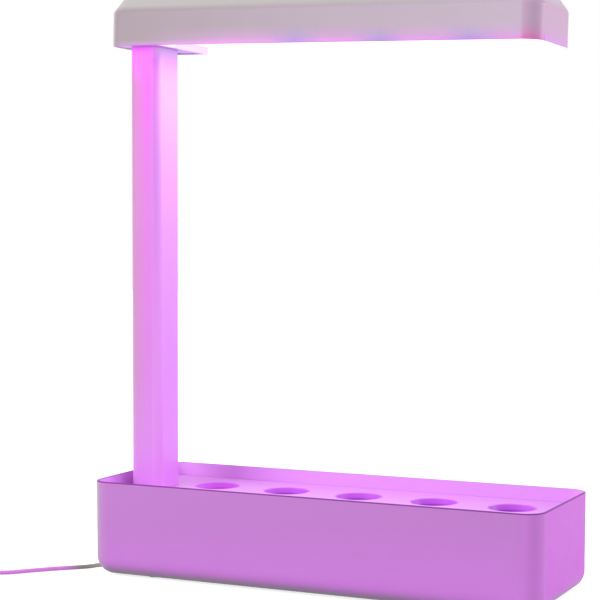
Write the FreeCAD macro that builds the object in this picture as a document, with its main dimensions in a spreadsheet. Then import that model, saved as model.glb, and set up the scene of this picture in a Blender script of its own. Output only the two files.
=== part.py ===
"""Countertop planter with an LED grow light on a mast, modelled at its real size in millimetres.

The planter stands on the table around the origin, its length along X and its height along Z.
The mast stands at the left end, and the light reaches from there over the whole planter.
"""
import FreeCAD, Part
import math
import os

import Sketcher
from FreeCAD import Placement, Rotation, Vector

os.makedirs("parts", exist_ok=True)
doc = FreeCAD.newDocument("planter_with_grow_light")
sheet = doc.addObject("Spreadsheet::Sheet", "Sizes")

# Driving sizes: alias, millimetres or degrees, and what it is
DRIVING_SIZES = [
    ("foot_lift", 1.5, "gap between the table and the tub's underside"),
    ("foot_sink", 1.0, "depth of a rubber foot in its pocket"),
    ("foot_diameter", 12.0, "rubber foot"),
    ("foot_bevel", 0.5, "bevel round a foot's lower edge"),
    ("foot_inset_x", 57.0, "feet from the tub's ends"),
    ("foot_inset_y", 26.5, "feet from the tub's sides"),
    ("tub_length", 450.0, "tub at its rim, along X"),
    ("tub_width", 155.0, "tub at its rim, along Y"),
    ("tub_height", 90.5, "underside to rim"),
    ("tub_corner", 19.0, "radius of the upright corners"),
    ("tub_edge", 18.0, "radius round the bottom"),
    ("tub_wall", 2.5, "wall thickness"),
    ("tub_floor", 3.0, "floor thickness"),
    ("tub_draft", 0.4, "lean of the walls, degrees"),
    ("rim_round", 0.8, "rounding of the rim"),
    ("rest_width", 3.0, "rib that carries the tray, along the wall"),
    ("rest_reach", 6.0, "rib that carries the tray, out of the wall"),
    ("rest_inset", 33.0, "outer ribs from the tub's ends"),
    ("rest_count", 5, "ribs along a side"),
    ("tray_recess", 13.5, "rim down to the tray's deck"),
    ("tray_deck", 2.5, "thickness of the tray's deck"),
    ("tray_gap", 0.6, "clearance round the tray"),
    ("tray_skirt", 8.0, "height of the tray's skirt below the deck"),
    ("skirt_wall", 1.8, "thickness of the skirt and ribs"),
    ("tray_rib", 5.0, "height of the ribs below the deck"),
    ("mast_gap", 0.8, "clearance between the tray and the mast"),
    ("cup_count", 5, "planting cups in the row"),
    ("cup_from_mast", 55.2, "first cup from the mast's axis"),
    ("cup_from_end", 59.1, "last cup from the tub's free end"),
    ("cup_row", 26.2, "cup row from the tub's middle, along Y"),
    ("mouth_diameter", 47.0, "tray's funnel seat at the deck"),
    ("throat_diameter", 42.0, "tray's hole below the funnel seat"),
    ("seat_depth", 5.0, "depth of the funnel seat"),
    ("collar_wall", 1.6, "wall of the collar round each hole"),
    ("collar_drop", 3.0, "collar below the funnel seat"),
    ("cup_gap", 0.15, "clearance between a cup and its seat"),
    ("cup_depth", 48.0, "cup from lip to bottom"),
    ("cup_bottom", 31.0, "outside diameter of a cup's bottom"),
    ("cup_wall", 1.2, "wall of a cup"),
    ("cup_lip_edge", 0.84, "wall of a cup at the top of its lip"),
    ("cup_step_in", 0.4, "cup's step inwards below the seat"),
    ("cup_step_drop", 0.5, "height of that step"),
    ("cup_foot_round", 2.0, "rounding at a cup's bottom"),
    ("slot_width", 2.6, "slot in a cup's side"),
    ("slot_top", 20.0, "lip to the slots' upper end"),
    ("slot_bottom", 44.0, "lip to the slots' lower end"),
    ("slot_count", 8, "slots round a cup"),
    ("drain_diameter", 3.2, "hole in a cup's bottom"),
    ("drain_ring", 8.5, "holes from the cup's axis"),
    ("mast_inset", 28.5, "mast's axis from the tub's end"),
    ("mast_width", 34.2, "mast along X"),
    ("mast_depth", 41.2, "mast along Y"),
    ("mast_corner", 7.5, "radius of the mast's corners"),
    ("mast_wall", 2.0, "wall of the mast"),
    ("socket_gap", 0.3, "clearance between the mast and its socket"),
    ("socket_wall", 2.5, "wall of the socket"),
    ("socket_drop", 0.5, "socket below the tray's deck"),
    ("shelf_height", 32.0, "table to the shelf that the mast stands on"),
    ("shelf_thickness", 4.0, "shelf under the mast"),
    ("bay_length", 27.0, "wiring bay along X"),
    ("bay_width", 76.0, "wiring bay along Y"),
    ("bay_shift_x", 3.8, "wiring bay from the mast's axis, along X"),
    ("bay_shift_y", -18.0, "wiring bay from the mast's axis, along Y"),
    ("bay_height", 14.5, "wiring bay above the tub's underside"),
    ("bay_wall", 2.5, "wall over the wiring bay"),
    ("bay_corner", 4.0, "corners of the wiring bay"),
    ("riser_width", 36.0, "bay's riser inside the socket, along Y"),
    ("groove_row", -46.0, "cord groove from the tub's middle, along Y"),
    ("groove_width", 8.0, "cord groove"),
    ("groove_height", 7.2, "cord groove above the tub's underside"),
    ("groove_wall", 2.0, "wall round the cord groove"),
    ("wire_hole", 8.0, "hole for the lead in shelf, foot plug and bracket"),
    ("fit_gap", 0.15, "clearance of the plugs in the mast"),
    ("plug_height", 30.0, "foot plug in the mast's lower end"),
    ("plug_edge", 1.0, "bevel on the plugs' leading ends"),
    ("foot_screw_reach", 12.0, "foot screws from the mast's axis, along Y"),
    ("screw_diameter", 3.0, "shank of the housing screws"),
    ("screw_gap", 0.1, "radial clearance of a screw in its hole"),
    ("screw_head", 5.6, "head of the housing screws"),
    ("screw_head_height", 2.0, "height of those heads"),
    ("foot_screw_length", 16.0, "foot screw below its head"),
    ("head_length", 434.4, "light housing along its length"),
    ("head_depth", 100.0, "light housing along Y"),
    ("head_overhang", 25.0, "light housing left of the mast's axis"),
    ("head_edge_height", 509.5, "table to the housing's lower edge at the mast"),
    ("head_droop", 1.69, "droop of the light towards its free end, degrees"),
    ("head_face", 32.5, "upright face of the housing"),
    ("head_corner", 18.0, "radius of the housing's upright corners"),
    ("head_wall", 2.5, "wall of the housing"),
    ("band_height", 16.5, "slanted band above the face"),
    ("band_inset", 12.0, "lean of the slanted band"),
    ("band_break", 6.0, "rounding where the band starts"),
    ("crown_round", 7.0, "rounding round the housing's top"),
    ("skirt_round", 0.8, "rounding of the housing's lower edge"),
    ("bezel_lift", 6.5, "lower edge up to the bezel's plate"),
    ("bezel_plate", 2.0, "thickness of the bezel's plate"),
    ("bezel_gap", 0.4, "clearance round the bezel"),
    ("pad_lift", 0.8, "lower edge up to the pad round the mast"),
    ("pad_end", 33.0, "pad's free end from the mast's axis"),
    ("pad_wall", 2.0, "wall of the pad"),
    ("pad_round", 1.5, "rounding at the pad's free end"),
    ("window_start", 38.0, "window from the mast's axis"),
    ("window_margin", 6.0, "bezel round the window's other sides"),
    ("window_corner", 10.0, "radius of the window's corners"),
    ("window_lap", 3.0, "diffuser beyond the window"),
    ("diffuser_thickness", 1.8, "diffuser"),
    ("diffuser_gap", 0.3, "clearance round the diffuser"),
    ("fence_wall", 1.2, "fence round the diffuser"),
    ("mast_reach", 14.0, "housing's lower edge up to the mast's top"),
    ("flange_length", 43.0, "bracket flange along X"),
    ("flange_depth", 60.0, "bracket flange along Y"),
    ("flange_thickness", 4.5, "bracket flange at the mast's axis"),
    ("bracket_plug", 30.0, "bracket plug in the mast's upper end"),
    ("bracket_screw_x", 12.0, "bracket screws from the mast's axis, along X"),
    ("bracket_screw_y", 25.5, "bracket screws from the mast's axis, along Y"),
    ("carrier_gap", 2.7, "bezel's left end to the carrier"),
    ("carrier_end_gap", 11.4, "carrier to the housing's free end"),
    ("carrier_width", 76.0, "carrier across its flanges"),
    ("carrier_sheet", 1.6, "thickness of the carrier's sheet"),
    ("carrier_drop", 7.0, "height of the carrier's flanges below its web"),
    ("board_start", 45.0, "board from the mast's axis"),
    ("board_end_gap", 6.0, "board to the carrier's free end"),
    ("board_width", 64.0, "board"),
    ("board_thickness", 1.6, "board"),
    ("led_margin", 12.0, "first and last light chips from the board's ends"),
    ("led_columns", 20, "light chips in a row"),
    ("led_row", 20.0, "rows from the middle"),
    ("led_size", 3.5, "light chip's side"),
    ("led_height", 1.4, "light chip's height"),
    ("boss_diameter", 7.0, "screw boss in the housing"),
    ("boss_first", 65.5, "first boss from the mast's axis"),
    ("boss_last", 20.5, "last boss from the board's free end"),
    ("boss_count", 3, "bosses over the carrier"),
    ("boss_row", 13.5, "bosses from the middle, to either side in turn"),
    ("boss_screw_length", 10.0, "board screw below its head"),
    ("bezel_screw_x", 2.0, "bezel screws from the mast's axis, along X"),
    ("bezel_screw_y", 42.8, "bezel screws from the mast's axis, along Y"),
    ("bezel_boss", 9.0, "boss in the pad for a bezel screw"),
    ("bezel_screw_sink", 3.0, "depth of a bezel screw's head in the pad"),
    ("bezel_screw_length", 12.0, "bezel screw below its head"),
    ("driver_start", 84.0, "driver from the mast's axis"),
    ("driver_length", 66.0, "driver along the carrier"),
    ("driver_width", 40.0, "driver across the carrier"),
    ("driver_height", 16.0, "driver"),
    ("driver_round", 2.0, "rounding of the driver's case"),
    ("lead_diameter", 4.0, "lead inside the mast"),
    ("lead_bend", 9.0, "bend radius of the lead"),
    ("lead_rise", 9.5, "lead above the carrier where it enters the driver"),
    ("link_diameter", 1.6, "wires from the driver to the board"),
    ("link_spread", 8.0, "spacing of those two wires"),
    ("link_reach", 8.0, "wires beyond the driver"),
    ("link_bend", 4.0, "bend radius of those wires"),
    ("cord_diameter", 4.0, "supply cord"),
    ("cord_height", 4.8, "table to the cord's axis in its groove"),
    ("gland_flange", 8.6, "strain relief's flange inside the bay"),
    ("gland_flange_length", 2.0, "length of that flange"),
    ("gland_neck", 7.2, "strain relief's neck in the groove"),
    ("gland_neck_length", 9.0, "length of that neck"),
    ("gland_tail_length", 9.0, "length of the strain relief's tail"),
    ("gland_tail_end", 5.6, "diameter of the tail's free end"),
    ("coil_radius", 21.4, "middle of the coil's turns"),
    ("coil_bundle", 14.4, "coil across its turns, level"),
    ("coil_height", 16.8, "coil across its turns, upright"),
    ("coil_round", 3.0, "rounding of the coil's section"),
    ("coil_end_inset", 0.4, "ends of the cord inside the coil's outer faces"),
    ("coil_end_reach", 6.0, "straight ends of the cord outside the coil"),
    ("coil_x", -350.0, "coil from the tub's middle, along X"),
    ("coil_y", -130.0, "coil from the tub's middle, along Y"),
    ("tie_width", 9.0, "tie round the coil"),
    ("tie_thickness", 1.0, "tie round the coil"),
    ("adapter_length", 62.0, "plug adapter along its lead"),
    ("adapter_width", 42.0, "plug adapter"),
    ("adapter_height", 27.0, "plug adapter"),
    ("adapter_round", 4.0, "rounding of the plug adapter"),
    ("adapter_x", -431.0, "plug adapter from the tub's middle, along X"),
    ("adapter_y", -155.0, "plug adapter from the tub's middle, along Y"),
    ("adapter_entry", 13.5, "table to the cord's axis at the adapter"),
    ("pin_diameter", 4.0, "plug pin"),
    ("pin_length", 19.0, "plug pin"),
    ("pin_spacing", 19.0, "plug pins, centre to centre"),
    ("pin_tip", 1.2, "taper at a pin's tip"),
]


class Dim:
    """A size that knows its value now and the sheet formula that gives it."""

    def __init__(self, value, formula):
        self.value = value
        self.formula = formula

    def __add__(self, other):
        other = dim(other)
        return Dim(self.value + other.value, f"({self.formula} + {other.formula})")

    def __sub__(self, other):
        other = dim(other)
        return Dim(self.value - other.value, f"({self.formula} - {other.formula})")

    def __mul__(self, other):
        other = dim(other)
        return Dim(self.value * other.value, f"({self.formula} * {other.formula})")

    def __truediv__(self, other):
        other = dim(other)
        return Dim(self.value / other.value, f"({self.formula} / {other.formula})")

    def __radd__(self, other):
        return dim(other) + self

    def __rsub__(self, other):
        return dim(other) - self

    def __rmul__(self, other):
        return dim(other) * self

    def __neg__(self):
        return dim(-1) * self


def dim(value):
    """The value as a Dim, whether it is one already or a plain number."""
    if isinstance(value, Dim):
        return value
    return Dim(float(value), f"({float(value):.6f})")


def tangent_of(angle):
    """The tangent of an angle in degrees."""
    return Dim(math.tan(math.radians(angle.value)), f"tan({angle.formula} * 1deg)")


def cosine_of(angle):
    """The cosine of an angle in degrees."""
    return Dim(math.cos(math.radians(angle.value)), f"cos({angle.formula} * 1deg)")


def lean_of(inset, rise):
    """The angle from the vertical of a wall that leans in by inset over rise, in degrees."""
    angle = math.degrees(math.atan2(inset.value, rise.value))
    return Dim(angle, f"(atan({inset.formula} / {rise.formula}) / 1deg)")


size = {}
for line, (alias, amount, meaning) in enumerate(DRIVING_SIZES, start=1):
    sheet.set(f"A{line}", meaning)
    sheet.set(f"B{line}", str(amount))
    sheet.setAlias(f"B{line}", alias)
    size[alias] = Dim(float(amount), f"Sizes.{alias}")
doc.recompute()

ZERO = dim(0)
nodes = []


# Sketches and features


def bind(thing, path, value):
    """Ties a property to the sheet."""
    thing.setExpression(path, dim(value).formula)


def name_node(thing, label):
    """Gives a finished piece its name and lists it for export."""
    thing.Label = label
    nodes.append(thing)
    return thing


def place(thing, x=ZERO, y=ZERO, z=ZERO, turn=None, axis=Vector(0, 0, 1)):
    """Puts a piece at a bound place, turned by a bound angle about an axis."""
    if turn is not None:
        thing.Placement = Placement(Vector(), Rotation(axis, dim(turn).value))
        bind(thing, "Placement.Rotation.Angle", turn)
    for letter, value in (("x", x), ("y", y), ("z", z)):
        bind(thing, f"Placement.Base.{letter}", value)


def new_body(label):
    """A body in the document, listed as a node."""
    body = doc.addObject("PartDesign::Body", label)
    return name_node(body, label)


def origin_feature(body, role):
    """One of the body's own origin planes or axes."""
    return next(item for item in body.Origin.OriginFeatures if item.Role == role)


def new_sketch(body, name, role="XY_Plane", x=ZERO, y=ZERO, z=ZERO):
    """An empty sketch on one of the body's origin planes, shifted in that plane's own axes."""
    sketch = body.newObject("Sketcher::SketchObject", name)
    sketch.AttachmentSupport = [(origin_feature(body, role), "")]
    sketch.MapMode = "FlatFace"
    for letter, value in (("x", x), ("y", y), ("z", z)):
        bind(sketch, f"AttachmentOffset.Base.{letter}", value)
    return sketch


def constrain(sketch, *definition):
    """Adds a constraint, whose last entry may be a bound size."""
    last = definition[-1]
    if isinstance(last, Dim):
        index = sketch.addConstraint(Sketcher.Constraint(*definition[:-1], last.value))
        bind(sketch, f"Constraints[{index}]", last)
        return
    sketch.addConstraint(Sketcher.Constraint(*definition))


def fix_point(sketch, geometry, point, x, y):
    """Holds a point at a bound place from the sketch's origin."""
    constrain(sketch, "DistanceX", -1, 1, geometry, point, dim(x))
    constrain(sketch, "DistanceY", -1, 1, geometry, point, dim(y))


def add_circle(sketch, diameter, x=ZERO, y=ZERO):
    """A circle of a bound diameter at a bound place."""
    x, y, diameter = dim(x), dim(y), dim(diameter)
    centre = Vector(x.value, y.value, 0)
    circle = sketch.addGeometry(Part.Circle(centre, Vector(0, 0, 1), diameter.value / 2))
    constrain(sketch, "Diameter", circle, diameter)
    fix_point(sketch, circle, 3, x, y)


def add_outline(sketch, points):
    """A closed outline of straight lines through bound points."""
    corners = [(dim(x), dim(y)) for x, y in points]
    spots = [Vector(x.value, y.value, 0) for x, y in corners]
    first = None
    for start, end in zip(spots, spots[1:] + spots[:1]):
        side = sketch.addGeometry(Part.LineSegment(start, end))
        first = side if first is None else first
    for number, (x, y) in enumerate(corners):
        before = first + (number - 1) % len(corners)
        constrain(sketch, "Coincident", before, 2, first + number, 1)
        fix_point(sketch, first + number, 1, x, y)


def add_rectangle(sketch, length, width, x=ZERO, y=ZERO):
    """A rectangle about a bound centre."""
    left, right = x - length / 2, x + length / 2
    front, back = y - width / 2, y + width / 2
    add_outline(sketch, [(left, front), (right, front), (right, back), (left, back)])


def add_rounded_rectangle(sketch, length, width, radius, x=ZERO, y=ZERO):
    """A rectangle with four equal round corners about a bound centre."""
    length, width, radius, x, y = (dim(item) for item in (length, width, radius, x, y))
    half_x, half_y, r = length.value / 2, width.value / 2, radius.value
    middle = Vector(x.value, y.value, 0)
    up = Vector(0, 0, 1)
    corners = [(1, -1, 270), (1, 1, 0), (-1, 1, 90), (-1, -1, 180)]
    first = sketch.GeometryCount
    for number, (side_x, side_y, start) in enumerate(corners):
        hub = middle + Vector(side_x * (half_x - r), side_y * (half_y - r), 0)
        turn = math.radians(start)
        arc_start = hub + Vector(r * math.cos(turn), r * math.sin(turn), 0)
        last_x, last_y, last_start = corners[number - 1]
        last_hub = middle + Vector(last_x * (half_x - r), last_y * (half_y - r), 0)
        last_turn = math.radians(last_start + 90)
        line_start = last_hub + Vector(r * math.cos(last_turn), r * math.sin(last_turn), 0)
        sketch.addGeometry(Part.LineSegment(line_start, arc_start))
        sketch.addGeometry(Part.ArcOfCircle(Part.Circle(hub, up, r), turn, turn + math.pi / 2))
    for step in range(8):
        constrain(sketch, "Tangent", first + step, 2, first + (step + 1) % 8, 1)
    for step, direction in ((0, "Horizontal"), (4, "Horizontal"), (2, "Vertical"), (6, "Vertical")):
        constrain(sketch, direction, first + step)
    for step in (1, 3, 5):
        constrain(sketch, "Equal", first + step, first + step + 2)
    constrain(sketch, "Radius", first + 1, radius)
    constrain(sketch, "DistanceX", first + 6, 1, first + 2, 1, length)
    constrain(sketch, "DistanceY", first, 1, first + 4, 1, width)
    fix_point(sketch, first, 1, x - length / 2 + radius, y - width / 2)


def extrude(body, kind, name, sketch, length, down=False, lean=None, both=False):
    """A pad or a pocket of a bound length, whose walls may lean in."""
    feature = body.newObject(f"PartDesign::{kind}", name)
    feature.Profile = sketch
    bind(feature, "Length", length)
    feature.Reversed = down if kind == "Pad" else not down
    if both:
        feature.Midplane = True
    if lean is not None:
        bind(feature, "TaperAngle", -lean)
    sketch.Visibility = False
    return feature


def pad(body, name, sketch, length, **options):
    """Material from the sketch, upwards unless down is set."""
    return extrude(body, "Pad", name, sketch, length, **options)


def pocket(body, name, sketch, length, **options):
    """A cut from the sketch, upwards unless down is set."""
    return extrude(body, "Pocket", name, sketch, length, **options)


def revolve(body, name, sketch):
    """A full turn of the sketch about its own upright axis."""
    feature = body.newObject("PartDesign::Revolution", name)
    feature.Profile = sketch
    feature.ReferenceAxis = (sketch, ["V_Axis"])
    feature.Angle = 360
    sketch.Visibility = False
    return feature


def edges_where(shape, wanted):
    """Names of the edges whose box and length pass the test."""
    return [f"Edge{n}" for n, edge in enumerate(shape.Edges, start=1) if wanted(edge)]


def flat_edges_at(height):
    """A test for level edges at a height."""

    def wanted(edge):
        box = edge.BoundBox
        return abs(box.ZMin - height) < 0.01 and abs(box.ZMax - height) < 0.01

    return wanted


def dress(body, kind, name, feature, wanted, amount):
    """A fillet or a chamfer on the edges that pass the test."""
    doc.recompute()
    edges = edges_where(feature.Shape, wanted)
    if not edges:
        raise ValueError(f"{body.Label}: no edge for {name}")
    result = body.newObject(f"PartDesign::{kind}", name)
    result.Base = (feature, edges)
    bind(result, "Radius" if kind == "Fillet" else "Size", amount)
    return result


def group(label, pieces):
    """Like pieces that share one node, each a solid of its own."""
    compound = doc.addObject("Part::Compound", label)
    compound.Links = pieces
    return name_node(compound, label)


def fuse(name, base, tool):
    """One solid of two."""
    result = doc.addObject("Part::Fuse", name)
    result.Base = base
    result.Tool = tool
    return result


def cylinder(name, diameter, length, x=ZERO, y=ZERO, z=ZERO):
    """An upright cylinder that starts at z."""
    solid = doc.addObject("Part::Cylinder", name)
    bind(solid, "Radius", diameter / 2)
    bind(solid, "Height", length)
    place(solid, x, y, z)
    return solid


def cone(name, lower, upper, length, x=ZERO, y=ZERO, z=ZERO):
    """An upright cone between two diameters that starts at z."""
    solid = doc.addObject("Part::Cone", name)
    bind(solid, "Radius1", lower / 2)
    bind(solid, "Radius2", upper / 2)
    bind(solid, "Height", length)
    place(solid, x, y, z)
    return solid


def screw(name, length, x, y, head_face, up):
    """A housing screw whose head lies against head_face, driven upwards or downwards."""
    shank_start = head_face if up else head_face - length
    head_start = head_face - size["screw_head_height"] if up else head_face
    shank = cylinder(f"{name}_shank", size["screw_diameter"], length, x, y, shank_start)
    head = cylinder(f"{name}_head", size["screw_head"], size["screw_head_height"], x, y, head_start)
    return fuse(name, shank, head)


def solid_feature(label, shape, placement=Placement()):
    """A piece made with Part's own functions, placed after its shape."""
    feature = doc.addObject("Part::Feature", label)
    feature.Shape = shape
    feature.Placement = placement
    return name_node(feature, label)


def path_wire(points, bends):
    """Straight runs through the points, joined by tangent arcs of the given radii."""
    edges = []
    start = points[0]
    for before, corner, after, radius in zip(points, points[1:], points[2:], bends):
        arrive = (corner - before).normalize()
        leave = (after - corner).normalize()
        half = arrive.getAngle(leave) / 2
        set_back = radius * math.tan(half)
        enter = corner - arrive * set_back
        depart = corner + leave * set_back
        inward = (leave - arrive).normalize()
        centre = corner + inward * (radius / math.cos(half))
        middle = centre - inward * radius
        edges.append(Part.LineSegment(start, enter).toShape())
        edges.append(Part.Arc(enter, middle, depart).toShape())
        start = depart
    edges.append(Part.LineSegment(start, points[-1]).toShape())
    return Part.Wire(edges)


def tube_along(wire, diameter, start, direction):
    """A round tube along a wire."""
    ring = Part.Wire([Part.makeCircle(diameter / 2, start, direction)])
    return wire.makePipeShell([ring], True, False)


# Shared places

tub_underside = size["foot_lift"]
rim = tub_underside + size["tub_height"]
tub_inner_floor = tub_underside + size["tub_floor"]
deck_top = rim - size["tray_recess"]
deck_underside = deck_top - size["tray_deck"]
skirt_end = deck_underside - size["tray_skirt"]
tray_length = size["tub_length"] - 2 * (size["tub_wall"] + size["tray_gap"])
tray_width = size["tub_width"] - 2 * (size["tub_wall"] + size["tray_gap"])
tray_corner = size["tub_corner"] - size["tub_wall"] - size["tray_gap"]
mast_x = size["mast_inset"] - size["tub_length"] / 2


def spread(first, last, count):
    """Places at equal steps from the first to the last."""
    steps = int(count.value) - 1
    return [first + (last - first) * n / steps for n in range(steps + 1)]


first_cup = mast_x + size["cup_from_mast"]
last_cup = size["tub_length"] / 2 - size["cup_from_end"]
cup_places = spread(first_cup, last_cup, size["cup_count"])
foot_x = size["tub_length"] / 2 - size["foot_inset_x"]
foot_y = size["tub_width"] / 2 - size["foot_inset_y"]
mast_inner_width = size["mast_width"] - 2 * size["mast_wall"]
mast_inner_depth = size["mast_depth"] - 2 * size["mast_wall"]
mast_inner_corner = size["mast_corner"] - size["mast_wall"]
mast_top = size["head_edge_height"] + size["mast_reach"]
shelf_top = size["shelf_height"]
shelf_underside = shelf_top - size["shelf_thickness"]
bay_x = mast_x + size["bay_shift_x"]
bay_left = bay_x - size["bay_length"] / 2
hole_for_screw = size["screw_diameter"] + 2 * size["screw_gap"]

head_middle = size["head_length"] / 2 - size["head_overhang"]
carrier_underside = (size["mast_reach"] + size["flange_thickness"]) * cosine_of(size["head_droop"])
carrier_top = carrier_underside + size["carrier_sheet"]
board_underside = carrier_underside - size["board_thickness"]
bezel_top = size["bezel_lift"] + size["bezel_plate"]
ceiling = size["head_face"] + size["band_height"] - size["head_wall"]
head_end = size["head_length"] - size["head_overhang"]
carrier_end = head_end - size["carrier_end_gap"]
board_end = carrier_end - size["board_end_gap"]
first_chip = size["board_start"] + size["led_margin"]
chip_places = spread(first_chip, board_end - size["led_margin"], size["led_columns"])
boss_columns = spread(size["boss_first"], board_end - size["boss_last"], size["boss_count"])
boss_places = [(x, size["boss_row"] * (-1) ** n) for n, x in enumerate(boss_columns)]
Y_AXIS = Vector(0, 1, 0)


def place_in_head(thing):
    """Puts a piece of the light where the mast carries it, with the light's droop."""
    place(thing, mast_x, ZERO, size["head_edge_height"], turn=size["head_droop"], axis=Y_AXIS)


# The tub and what stands in it


def make_tub():
    """Moulded tub with the mast's socket, the wiring bay and the cord's groove."""
    body = new_body("planter_tub")
    wall, lean = size["tub_wall"], size["tub_draft"]
    sketch = new_sketch(body, "tub_outside", z=rim)
    add_rounded_rectangle(sketch, size["tub_length"], size["tub_width"], size["tub_corner"])
    pad(body, "tub_block", sketch, size["tub_height"], down=True, lean=lean)

    sketch = new_sketch(body, "tub_inside", z=rim)
    inner_length, inner_width = size["tub_length"] - 2 * wall, size["tub_width"] - 2 * wall
    add_rounded_rectangle(sketch, inner_length, inner_width, size["tub_corner"] - wall)
    hollow = pocket(body, "tub_hollow", sketch, rim - tub_inner_floor, down=True, lean=lean)
    inner_round = size["tub_edge"] - wall
    floor_edges, underside_edges = flat_edges_at(tub_inner_floor.value), flat_edges_at(tub_underside.value)
    feature = dress(body, "Fillet", "tub_hollow_round", hollow, floor_edges, inner_round)
    feature = dress(body, "Fillet", "tub_bottom_round", feature, underside_edges, size["tub_edge"])
    dress(body, "Fillet", "tub_rim_round", feature, flat_edges_at(rim.value), size["rim_round"])

    in_floor = tub_underside + size["tub_floor"] / 2
    room = 2 * size["bay_wall"]
    corner = size["bay_corner"] + size["bay_wall"]
    sketch = new_sketch(body, "riser_outside", x=bay_x, z=in_floor)
    add_rounded_rectangle(sketch, size["bay_length"] + room, size["riser_width"] + room, corner)
    pad(body, "riser_block", sketch, shelf_top - in_floor)
    sketch = new_sketch(body, "bay_outside", x=bay_x, y=size["bay_shift_y"], z=in_floor)
    add_rounded_rectangle(sketch, size["bay_length"] + room, size["bay_width"] + room, corner)
    pad(body, "bay_block", sketch, tub_underside + size["bay_height"] + size["bay_wall"] - in_floor)

    sketch = new_sketch(body, "socket_outside", x=mast_x, z=shelf_underside)
    room = 2 * (size["socket_gap"] + size["socket_wall"])
    corner = size["mast_corner"] + size["socket_gap"] + size["socket_wall"]
    add_rounded_rectangle(sketch, size["mast_width"] + room, size["mast_depth"] + room, corner)
    pad(body, "socket_block", sketch, deck_underside - size["socket_drop"] - shelf_underside)

    # The groove's cover starts in the middle of the tub's rounded bottom
    middle_round = size["tub_edge"] - size["tub_floor"] / 2
    round_x = size["tub_edge"] - size["tub_length"] / 2 + size["tub_height"] * tangent_of(lean)
    round_z = tub_underside + size["tub_edge"]
    profile = []
    for angle in (0, 20, 40, 55):
        across, down = math.sin(math.radians(angle)), math.cos(math.radians(angle))
        profile.append((round_x - middle_round * across, round_z - middle_round * down))
    cover_top = tub_underside + size["groove_height"] + size["groove_wall"]
    profile += [(profile[-1][0], cover_top), (bay_left, cover_top), (bay_left, in_floor)]
    sketch = new_sketch(body, "groove_outside", role="XZ_Plane", z=-size["groove_row"])
    add_outline(sketch, profile)
    pad(body, "groove_block", sketch, size["groove_width"] + 2 * size["groove_wall"], both=True)
    groove_length = bay_left + size["tub_length"] / 2

    sketch = new_sketch(body, "tray_rest_ribs", z=tub_underside + size["tub_edge"])
    rest_y = size["tub_width"] / 2 - wall - size["rest_reach"] / 2
    rest_x = size["tub_length"] / 2 - size["rest_inset"]
    for x in spread(-rest_x, rest_x, size["rest_count"]):
        for side in (-1, 1):
            add_rectangle(sketch, size["rest_width"], size["rest_reach"], x, rest_y * side)
    pad(body, "tray_rests", sketch, skirt_end - tub_underside - size["tub_edge"])

    sketch = new_sketch(body, "socket_inside", x=mast_x, z=rim)
    gap = 2 * size["socket_gap"]
    corner = size["mast_corner"] + size["socket_gap"]
    add_rounded_rectangle(sketch, size["mast_width"] + gap, size["mast_depth"] + gap, corner)
    pocket(body, "socket_hollow", sketch, rim - shelf_top, down=True)

    sketch = new_sketch(body, "bay_inside", x=bay_x, y=size["bay_shift_y"])
    add_rounded_rectangle(sketch, size["bay_length"], size["bay_width"], size["bay_corner"])
    pocket(body, "bay_hollow", sketch, tub_underside + size["bay_height"])

    sketch = new_sketch(body, "riser_inside", x=bay_x)
    add_rounded_rectangle(sketch, size["bay_length"], size["riser_width"], size["bay_corner"])
    pocket(body, "riser_hollow", sketch, shelf_underside)

    sketch = new_sketch(body, "groove_inside")
    reach = groove_length + size["groove_width"]
    middle = bay_left + size["groove_width"] / 2 - reach / 2
    add_rectangle(sketch, reach, size["groove_width"], middle, size["groove_row"])
    pocket(body, "groove_hollow", sketch, tub_underside + size["groove_height"])

    sketch = new_sketch(body, "shelf_holes", x=mast_x, z=shelf_underside - size["shelf_thickness"])
    add_circle(sketch, size["wire_hole"])
    for side in (-1, 1):
        add_circle(sketch, hole_for_screw, y=size["foot_screw_reach"] * side)
    pocket(body, "shelf_drilling", sketch, 2 * size["shelf_thickness"])

    sketch = new_sketch(body, "foot_pockets")
    for side_x in (-1, 1):
        for side_y in (-1, 1):
            add_circle(sketch, size["foot_diameter"], foot_x * side_x, foot_y * side_y)
    pocket(body, "foot_pocket_cut", sketch, tub_underside + size["foot_sink"])
    return body


def make_feet():
    """Four rubber feet in their pockets."""
    height = size["foot_lift"] + size["foot_sink"] - size["foot_bevel"]
    narrow = size["foot_diameter"] - 2 * size["foot_bevel"]
    feet = []
    for side_x in (-1, 1):
        for side_y in (-1, 1):
            x, y = foot_x * side_x, foot_y * side_y
            name = f"foot_{len(feet) + 1}"
            bevel = cone(f"{name}_bevel", narrow, size["foot_diameter"], size["foot_bevel"], x, y)
            disc = cylinder(f"{name}_disc", size["foot_diameter"], height, x, y, size["foot_bevel"])
            feet.append(fuse(name, disc, bevel))
    group("rubber_feet", feet)


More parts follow.
